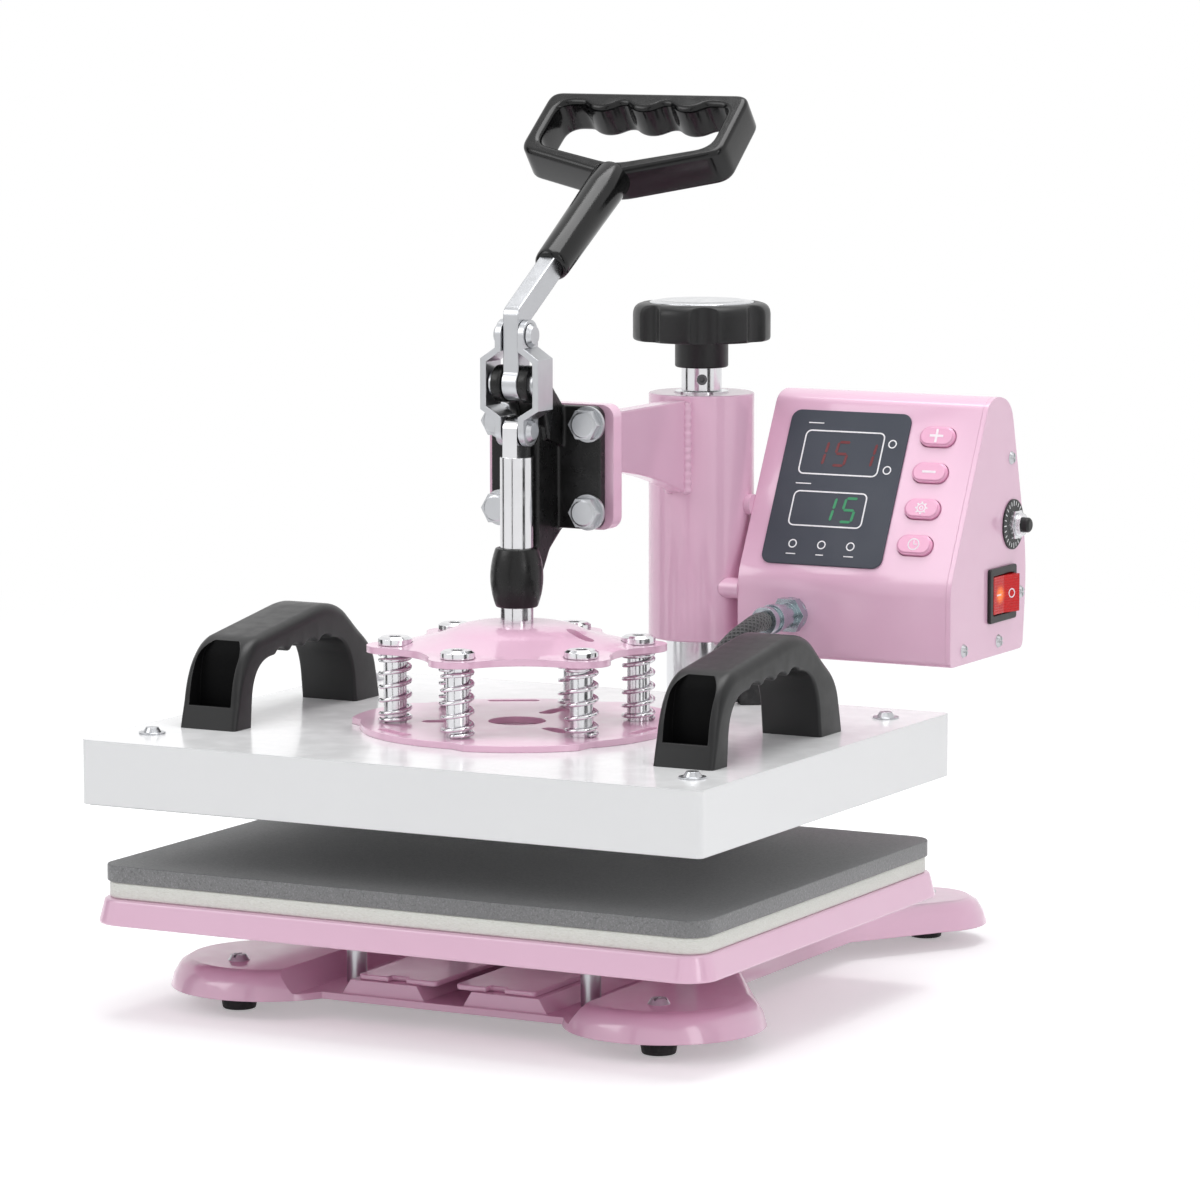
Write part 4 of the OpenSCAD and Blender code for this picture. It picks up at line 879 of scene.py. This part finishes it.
def loop_grip():
    along = Vector((0, math.cos(STEM_ANGLE), math.sin(STEM_ANGLE)))
    up = Vector((0, math.cos(LOOP_ANGLE), math.sin(LOOP_ANGLE)))
    out = Vector((0, -math.sin(LOOP_ANGLE), math.cos(LOOP_ANGLE)))
    origin = BEND_AT + along * (STEM_FROM + STEM_LEN) * MM + up * LOOP_UP * MM - out * LOOP_IN * MM
    outer, opening = loop_outlines()
    levels = []
    steps = 6
    for side in (-1, 1):
        for k in range(steps + 1):
            a = math.pi / 2 * (k if side < 0 else steps - k) / steps
            levels.append((LOOP_ROUND * (1 - math.sin(a)),
                           side * (LOOP_DEPTH / 2 - LOOP_ROUND * (1 - math.cos(a)))))
    walls = ((outer, 1), (opening, -1))
    verts, faces = [], []
    caps = []
    for outline, inwards in walls:
        rings = [[origin + Vector((x * MM, 0, 0)) + up * y * MM + out * z * MM
                  for x, y in shifted(outline, inset * inwards)] for inset, z in levels]
        ring_verts, ring_faces = skin_rings(rings, close_ends=False)
        base = len(verts)
        verts += ring_verts
        faces += [tuple(base + v for v in face) for face in ring_faces]
        caps.append((base, len(outline)))
    for level in (0, len(levels) - 1):
        inset = levels[level][0]
        loops = [[Vector((x, y, 0)) for x, y in shifted(outline, inset * inwards)] for outline, inwards in walls]
        index = [base + level * n + i for base, n in caps for i in range(n)]
        faces += [tuple(index[v] for v in triangle) for triangle in tessellate_polygon(loops)]
    piece = new_piece("loop_grip", verts, faces, GLOSS_BLACK, "lever")
    face_outwards(piece)
    for polygon in piece.data.polygons:
        polygon.use_smooth = len(polygon.vertices) == 4
    stem = turned("loop_stem", STEM_PROFILE, BEND_AT + along * STEM_FROM * MM, along, X, GLOSS_BLACK, "lever")
    for made in (piece, stem):
        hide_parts("lever_grip")


loop_grip()


# Height knob: millimetres from its axis and above its neck's foot
KNOB_FLUTES, FLUTE_TURN = 7, math.radians(-10)
FLUTE_AT, FLUTE_R, FLUTE_EASE = 38.0, 8.6, 1.4
FLUTED_FROM, STEPS_PER_FLUTE = 26, 28


def fluted(radius, angle):
    """The radius where a flute doesn't cut deeper, with an eased edge between the two."""
    pitch = TURN / KNOB_FLUTES
    off = (angle - FLUTE_TURN + pitch / 2) % pitch - pitch / 2
    if abs(FLUTE_AT * math.sin(off)) >= FLUTE_R:
        return radius
    cut = FLUTE_AT * math.cos(off) - math.sqrt(FLUTE_R ** 2 - (FLUTE_AT * math.sin(off)) ** 2)
    ease = max(FLUTE_EASE - abs(radius - cut), 0) / FLUTE_EASE
    return min(radius, cut) - ease ** 2 * FLUTE_EASE / 4


def height_knob():
    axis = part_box("lead_screw")
    centre = Vector(((axis[0].x + axis[1].x) / 2, (axis[0].y + axis[1].y) / 2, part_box("knob")[0].z))
    profile = [(11.9, 0), (12.5, 0.25), (12.8, 0.9), (12.8, 12.2), (13.1, 12.8), (14, 13), (24, 13), (28, 13)]
    profile += bezier((31.2, 13), (33, 13), (33, 14.8), 5)
    profile += [(33, z) for z in (17, 19, 21, 23)]
    profile += bezier((33, 25), (33, 31), (27, 31), 14)
    profile += [(25.5, 31), (25.1, 30.8), (25.0, 30.4), (25.0, 29.4)]
    sides = STEPS_PER_FLUTE * KNOB_FLUTES
    rings = []
    for radius, z in profile:
        ring = []
        for k in range(sides):
            a = TURN * k / sides
            r = fluted(radius, a) if radius > FLUTED_FROM else radius
            ring.append(centre + Vector((r * math.cos(a), r * math.sin(a), z)) * MM)
        rings.append(ring)
    piece = skinned("height_knob", rings, LOOKS["black_plastic"], "knob", outwards=True)
    piece.data.set_sharp_from_angle(angle=math.radians(50))
    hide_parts("knob")


height_knob()


# Marks on the control box: flat shapes in the panel's own plane, lifted off it by a hair
PANEL_W, PANEL_H = 63 * MM, 79 * MM
INK = 0.12 * MM
FLAT = 1e-5


def panel_frame():
    """Panel's lower left corner, its right and up directions, and its outward normal."""
    upper, lower = (sum(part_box(node), Vector()) for node in ("button_plus", "button_start"))
    up = (upper - lower).normalized()
    out = X.cross(up).normalized()
    if out.y > 0:
        out = -out
    points = [v.co for v in NODES["display_panel"].data.vertices]
    face = max(p.dot(out) for p in points)
    foot = min(p.dot(up) for p in points if p.dot(out) > face - FLAT)
    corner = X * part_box("display_panel")[0].x + up * foot + out * face
    return corner, X, up, out


PANEL_AT, RIGHT, UP, OUT = panel_frame()
RING_POINTS, CORNER_STEPS = 32, 5


class Sheet:
    """Flat marks drawn in metres on a plane, gathered into one piece."""

    def __init__(self, origin, right, up, out):
        self.origin, self.right, self.up, self.out = origin, right, up, out
        self.verts, self.faces = [], []

    def point(self, x, y, z):
        return self.origin + self.right * x + self.up * y + self.out * z

    def rise(self, points, thick):
        for z in (0, thick):
            self.verts += [self.point(x, y, z) for x, y in points]

    def shape(self, points, thick=INK):
        """A closed outline, as a thin plate."""
        n, base = len(points), len(self.verts)
        self.rise(points, thick)
        self.faces.append(tuple(range(base + n, base + 2 * n)))
        self.faces += [(base + i, base + (i + 1) % n, base + n + (i + 1) % n, base + n + i) for i in range(n)]

    def band(self, outer, inner, thick=INK):
        """The strip between two outlines with the same number of points."""
        n, base = len(outer), len(self.verts)
        self.rise(outer, thick)
        self.rise(inner, thick)
        o_low, o_high, i_low, i_high = (base + k * n for k in range(4))
        for i in range(n):
            j = (i + 1) % n
            self.faces += [(o_high + i, o_high + j, i_high + j, i_high + i),
                           (o_low + i, o_low + j, o_high + j, o_high + i),
                           (i_low + j, i_low + i, i_high + i, i_high + j)]

    def ring(self, x, y, radius, line):
        circle = [(math.cos(a), math.sin(a)) for a in (TURN * k / RING_POINTS for k in range(RING_POINTS))]
        self.band(*([(x + r * c, y + r * s) for c, s in circle] for r in (radius, radius - line)))

    def frame(self, x0, y0, x1, y1, radius, line):
        cx, cy = (x0 + x1) / 2, (y0 + y1) / 2
        self.band(*(
            [(cx + x, cy + y) for x, y in rounded_ring((x1 - x0) / 2 - t, (y1 - y0) / 2 - t, radius - t, CORNER_STEPS)]
            for t in (0, line)
        ))

    def bar(self, x, y, length, width, turn=0.0):
        c, s = math.cos(turn), math.sin(turn)
        half, thin = length / 2, width / 2
        corners = ((-half, -thin), (half, -thin), (half, thin), (-half, thin))
        self.shape([(x + a * c - b * s, y + a * s + b * c) for a, b in corners])

    def piece(self, name, material, body, slot):
        made = new_piece(name, self.verts, self.faces, material, body, smooth=False)


# Seven-segment digits: segment name -> place of its middle, and whether it stands upright
SEGMENTS = {"a": (0, 2, 0), "b": (1, 1.5, 1), "c": (1, 0.5, 1), "d": (0, 0, 0), "e": (-1, 0.5, 1),
            "f": (-1, 1.5, 1), "g": (0, 1, 0)}
DIGITS = {"1": "bc", "5": "afgcd"}
SLANT = 0.12


def digit(sheet, x, y, height, value):
    """One slanted seven-segment digit whose lower middle is at (x, y)."""
    half_w, half_h, line = height * 0.25, height / 2, height * 0.11
    for name in DIGITS[value]:
        sx, sy, upright = SEGMENTS[name]
        cx, cy = sx * half_w, sy * half_h
        reach = (half_h if upright else 2 * half_w) / 2 - line * 0.15
        tip = line / 2
        outline = [(-reach, 0), (-reach + tip, -tip), (reach - tip, -tip),
                   (reach, 0), (reach - tip, tip), (-reach + tip, tip)]
        if upright:
            outline = [(-b, a) for a, b in outline]
        sheet.shape([(x + cx + a + SLANT * (cy + b), y + cy + b) for a, b in outline])


def display_marks():
    lines = Sheet(PANEL_AT, RIGHT, UP, OUT)
    w, h = PANEL_W, PANEL_H
    lines.frame(0.15 * w, 0.58 * h, 0.815 * w, 0.87 * h, 3 * MM, 0.7 * MM)
    lines.frame(0.16 * w, 0.245 * h, 0.775 * w, 0.475 * h, 3 * MM, 0.7 * MM)
    for u, v in ((0.885, 0.80), (0.885, 0.63), (0.24, 0.13), (0.48, 0.13), (0.72, 0.13)):
        lines.ring(u * w, v * h, 2.2 * MM, 0.6 * MM)
    for u, v, length in (
        (0.24, 0.065, 5), (0.48, 0.065, 4), (0.72, 0.065, 5), (0.22, 0.915, 8), (0.22, 0.52, 8),
    ):
        lines.bar(u * w, v * h, length * MM, 0.5 * MM)
    lines.piece("display_lines", WHITE_INK, "head", "display")
    for name, text, places, foot, material in (
        ("temperature_digits", "151", (0.29, 0.47, 0.69), 0.645, RED_DIGIT),
        ("timer_digits", "15", (0.455, 0.63), 0.285, GREEN_DIGIT),
    ):
        digits = Sheet(PANEL_AT, RIGHT, UP, OUT)
        for value, u in zip(text, places):
            digit(digits, u * w, foot * h, 12 * MM, value)
        digits.piece(name, material, "head", "display")


display_marks()


UPRIGHT = math.pi / 2
GEAR_TEETH = [TURN * k / 8 for k in range(8)]
ICONS = {  # node: body, rings (x, y, radius, line), bars (x, y, length, width, turn), in millimetres
    "button_plus": ("plus_key", [], [(0, 0, 7, 1.2, 0), (0, 2, 2.8, 1.2, UPRIGHT), (0, -2, 2.8, 1.2, UPRIGHT)]),
    "button_minus": ("minus_key", [], [(0, 0, 7, 1.2, 0)]),
    "button_menu": ("menu_key", [(0, 0, 2.4, 0.6), (0, 0, 1.1, 0.5)],
                    [(2.8 * math.cos(a), 2.8 * math.sin(a), 0.8, 0.8, a) for a in GEAR_TEETH]),
    "button_start": ("start_key", [(0, 0, 3, 0.6)], [(0, 0.9, 1.8, 0.5, UPRIGHT), (0.8, 0, 1.6, 0.5, 0)]),
}


def button_icon(node, body, rings, bars):
    points = [v.co for v in NODES[node].data.vertices]
    top = max(p.dot(OUT) for p in points)
    middle = sum(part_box(node), Vector()) / 2
    sheet = Sheet(middle + OUT * (top - middle.dot(OUT)), RIGHT, UP, OUT)
    # the box's middle isn't on the button's axis, so slide the plane to the crown's middle
    crown = [p.dot(UP) for p in points if p.dot(OUT) > top - FLAT]
    sheet.origin += UP * (sum(crown) / len(crown) - sheet.origin.dot(UP))
    for ring in rings:
        sheet.ring(*(MM * value for value in ring))
    for *size, turn in bars:
        sheet.bar(*(MM * value for value in size), turn)
    sheet.piece(node + "_icon", PALE_INK, body, "pink_plastic")


for node_name, icon in ICONS.items():
    button_icon(node_name, *icon)


def rocker_marks():
    """A bar on the lit half and a ring on the raised half of the rocker."""
    verts = [v.co for v in NODES["power_rocker"].data.vertices]
    low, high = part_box("power_rocker")
    back = max(verts, key=lambda v: v.x)
    valley_y = (low.y + high.y) / 2
    valley_x = max(v.x for v in verts if abs(v.y - valley_y) < 1.5 * MM)
    front_x = max(v.x for v in verts if v.y < low.y + 2 * MM)
    middle_z = (low.z + high.z) / 2
    marks = {
        "rocker_ring": (Vector((valley_x, valley_y, middle_z)), Vector((back.x, back.y, middle_z))),
        "rocker_bar": (Vector((front_x, low.y + 0.6 * MM, middle_z)), Vector((valley_x, valley_y, middle_z))),
    }
    for name, (a, b) in marks.items():
        right = (b - a).normalized()
        sheet = Sheet((a + b) / 2, right, Z, right.cross(Z))
        if name == "rocker_ring":
            sheet.ring(0, 0, 2.3 * MM, 0.6 * MM)
        else:
            sheet.bar(0, 0, 4.6 * MM, 0.7 * MM)
        sheet.piece(name, PALE_INK, "rocker", "red_lens")


rocker_marks()


# Breaker: plain ticks round its ring, and the thread of its neck
TICK_COUNT, TICK_CIRCLE_R, TICK_LINE, TICK_LEN, LONG_TICK = 24, 10.1 * MM, 0.5 * MM, 1.9 * MM, 2.6 * MM
THREAD_ROOT, THREAD_CREST, THREAD_PITCH, THREAD_TURNS = 5.1, 5.5, 0.6, 4


def breaker_trim():
    low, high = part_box("breaker_ring")
    middle = (low + high) / 2
    ticks = Sheet(Vector((high.x, middle.y, middle.z)), Y, Z, X)
    for k in range(TICK_COUNT):
        a = TURN * k / TICK_COUNT
        length = TICK_LEN if k % 6 else LONG_TICK
        ticks.bar(TICK_CIRCLE_R * math.cos(a), TICK_CIRCLE_R * math.sin(a), length, TICK_LINE, a)
    ticks.piece("breaker_ticks", WHITE_INK, "head", "black_plastic")
    tip = (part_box("breaker_nut")[1].x - middle.x) / MM
    profile = [(THREAD_ROOT, tip - 2.6)]
    for k in range(THREAD_TURNS):
        profile += [(THREAD_CREST, tip - 2.3 + THREAD_PITCH * k), (THREAD_ROOT, tip - 2.0 + THREAD_PITCH * k)]
    thread = turned("breaker_thread", profile, middle, X, Y, LOOKS["chrome"], "head")


breaker_trim()


# Weld beads where the arm meets the column sleeve
WELD_R, WELD_SWELL, WELD_STEPS, WELD_SIDES, WELD_TIP = 2.1 * MM, 0.3, 46, 10, 0.35


def weld_beads():
    arm_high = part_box("head_arm")[1]
    sleeve_low, sleeve_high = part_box("column_sleeve")
    centre = (sleeve_low + sleeve_high) / 2
    radius = (sleeve_high.x - sleeve_low.x) / 2
    half = arm_high.x
    y = centre.y - math.sqrt(radius ** 2 - half ** 2)
    foot = min(v.co.z for v in NODES["head_arm"].data.vertices if abs(v.co.y - y) < 3 * MM)
    for side, name in ((-1, "weld_left"), (1, "weld_right")):
        path = []
        for k in range(WELD_STEPS + 1):
            z = foot - 0.5 * MM + (arm_high.z - foot) * k / WELD_STEPS
            path.append(Vector((side * half, y, z)))
        rings = tube(path, WELD_R, WELD_SIDES, -Y)
        for k, ring in enumerate(rings):
            swell = 1 + WELD_SWELL * abs(math.sin(k * math.pi / 4))
            swell *= WELD_TIP if k in (0, WELD_STEPS) else 1
            rings[k] = [path[k] + (p - path[k]) * swell for p in ring]
        piece = skinned(name, rings, LOOKS["pink_paint"], "head")


weld_beads()
soften_edges()


# Smooth shading on the round CAD faces
def shade_nodes():
    for piece in NODES.values():
        for polygon in piece.data.polygons:
            polygon.use_smooth = True
        piece.data.set_sharp_from_angle(angle=math.radians(28))


shade_nodes()


# Studio: white floor that keeps the shadow, soft boxes, and dark cards that give the metal its contrast
SKY, SKY_STRENGTH = (0.95, 0.97, 1.0, 1), 0.42
FLOOR_SIZE, FLOOR_DROP, FLOOR_GLOW = 16, 0.0002, 0.34
FADE_FROM, FADE_TO = 0.45, 1.5
LAMPS = (  # name, place, aim, size, watts
    ("key", (-1.3, -1.5, 1.5), (0, 0, 0.2), (1.2, 1.2), 11.5),
    ("fill", (1.9, -0.8, 1.0), (0, 0, 0.2), (0.9, 1.4), 9.5),
    ("top", (0.1, 0.1, 1.9), (0, 0, 0.1), (1.3, 1.3), 23),
)
CARDS = (("card_left", -165, 0.26), ("card_right", -15, 0.30), ("card_front", -92, 0.10))  # name, azimuth, width
CARD_AWAY, CARD_TALL = 0.9, 1.1


def shown(tree):
    """1 for rays that show the background: the camera's own, and glossy ones."""
    rays = tree.nodes.new("ShaderNodeLightPath")
    either = tree.nodes.new("ShaderNodeMath")
    either.operation = "MAXIMUM"
    tree.links.new(rays.outputs["Is Camera Ray"], either.inputs[0])
    tree.links.new(rays.outputs["Is Glossy Ray"], either.inputs[1])
    return either.outputs[0]


def mixed(tree, amount, a, b):
    """Shader output that goes from a to b with amount."""
    mix = tree.nodes.new("ShaderNodeMixShader")
    for socket, source in zip(mix.inputs, (amount, a, b)):
        tree.links.new(source, socket)
    return mix.outputs[0]


def light_world():
    """Dim sky as light, and plain white where it is seen."""
    world = bpy.data.worlds.new("studio")
    bpy.context.scene.world = world
    world.use_nodes = True
    tree = world.node_tree
    sky, white = tree.nodes["Background"], tree.nodes.new("ShaderNodeBackground")
    for node, color, strength in ((sky, SKY, SKY_STRENGTH), (white, (1, 1, 1, 1), 1.0)):
        node.inputs["Color"].default_value = color
        node.inputs["Strength"].default_value = strength
    tree.links.new(mixed(tree, shown(tree), sky.outputs[0], white.outputs[0]),
                   tree.nodes["World Output"].inputs["Surface"])


def lay_floor():
    """Pale floor, lifted towards white where it is seen, and fading into plain white further out."""
    bpy.ops.mesh.primitive_plane_add(size=FLOOR_SIZE, location=(0, 0, -FLOOR_DROP))
    floor = bpy.context.object
    floor.name = "floor"
    look = Look("floor", (0.86, 0.86, 0.86), 0.9)
    look.tint(look.noise(400, 2), (0.84, 0.84, 0.84), 0.4, 0.7)
    seen = shown(look.tree)
    glow = look.node("Emission", strength=look.math("MULTIPLY", seen, FLOOR_GLOW))
    lit = look.node("AddShader")
    look.link(look.shader.outputs[0], lit.inputs[0])
    look.link(glow.outputs[0], lit.inputs[1])
    away = look.vector("LENGTH", look.place())
    far = look.math("MULTIPLY", seen, look.between(away, FADE_FROM, FADE_TO, 0.0, 1.0))
    paper = look.node("Emission", strength=1.0)
    look.link(mixed(look.tree, far, lit.outputs[0], paper.outputs[0]),
              look.tree.nodes["Material Output"].inputs["Surface"])
    floor.data.materials.append(look.material)


def aim_at(thing, place, target, axis):
    thing.location = place
    thing.rotation_mode = "QUATERNION"
    thing.rotation_quaternion = (Vector(target) - Vector(place)).to_track_quat(axis, "Y")


def hang_lamps():
    for name, place, target, size, watts in LAMPS:
        data = bpy.data.lights.new(name, "AREA")
        data.shape = "RECTANGLE"
        data.size, data.size_y = size
        data.energy = watts
        aim_at(put(name, data), place, target, "-Z")


def stand_cards():
    look = Look("card", (0.02, 0.02, 0.02), 0.9)
    look.tint(look.noise(300, 2), (0.03, 0.03, 0.03), 0.4, 0.7)
    for name, degrees, wide in CARDS:
        turn = math.radians(degrees)
        place = (CARD_AWAY * math.cos(turn), CARD_AWAY * math.sin(turn), CARD_TALL / 2)
        bpy.ops.mesh.primitive_plane_add(size=1, location=place)
        card = bpy.context.object
        card.name = name
        card.scale = (wide, CARD_TALL, 1)
        aim_at(card, place, (0, 0, place[2]), "Z")
        card.data.materials.append(look.material)
        card.visible_camera = card.visible_diffuse = card.visible_shadow = False


light_world()
lay_floor()
hang_lamps()
stand_cards()
bpy.context.scene.view_settings.view_transform = "Standard"
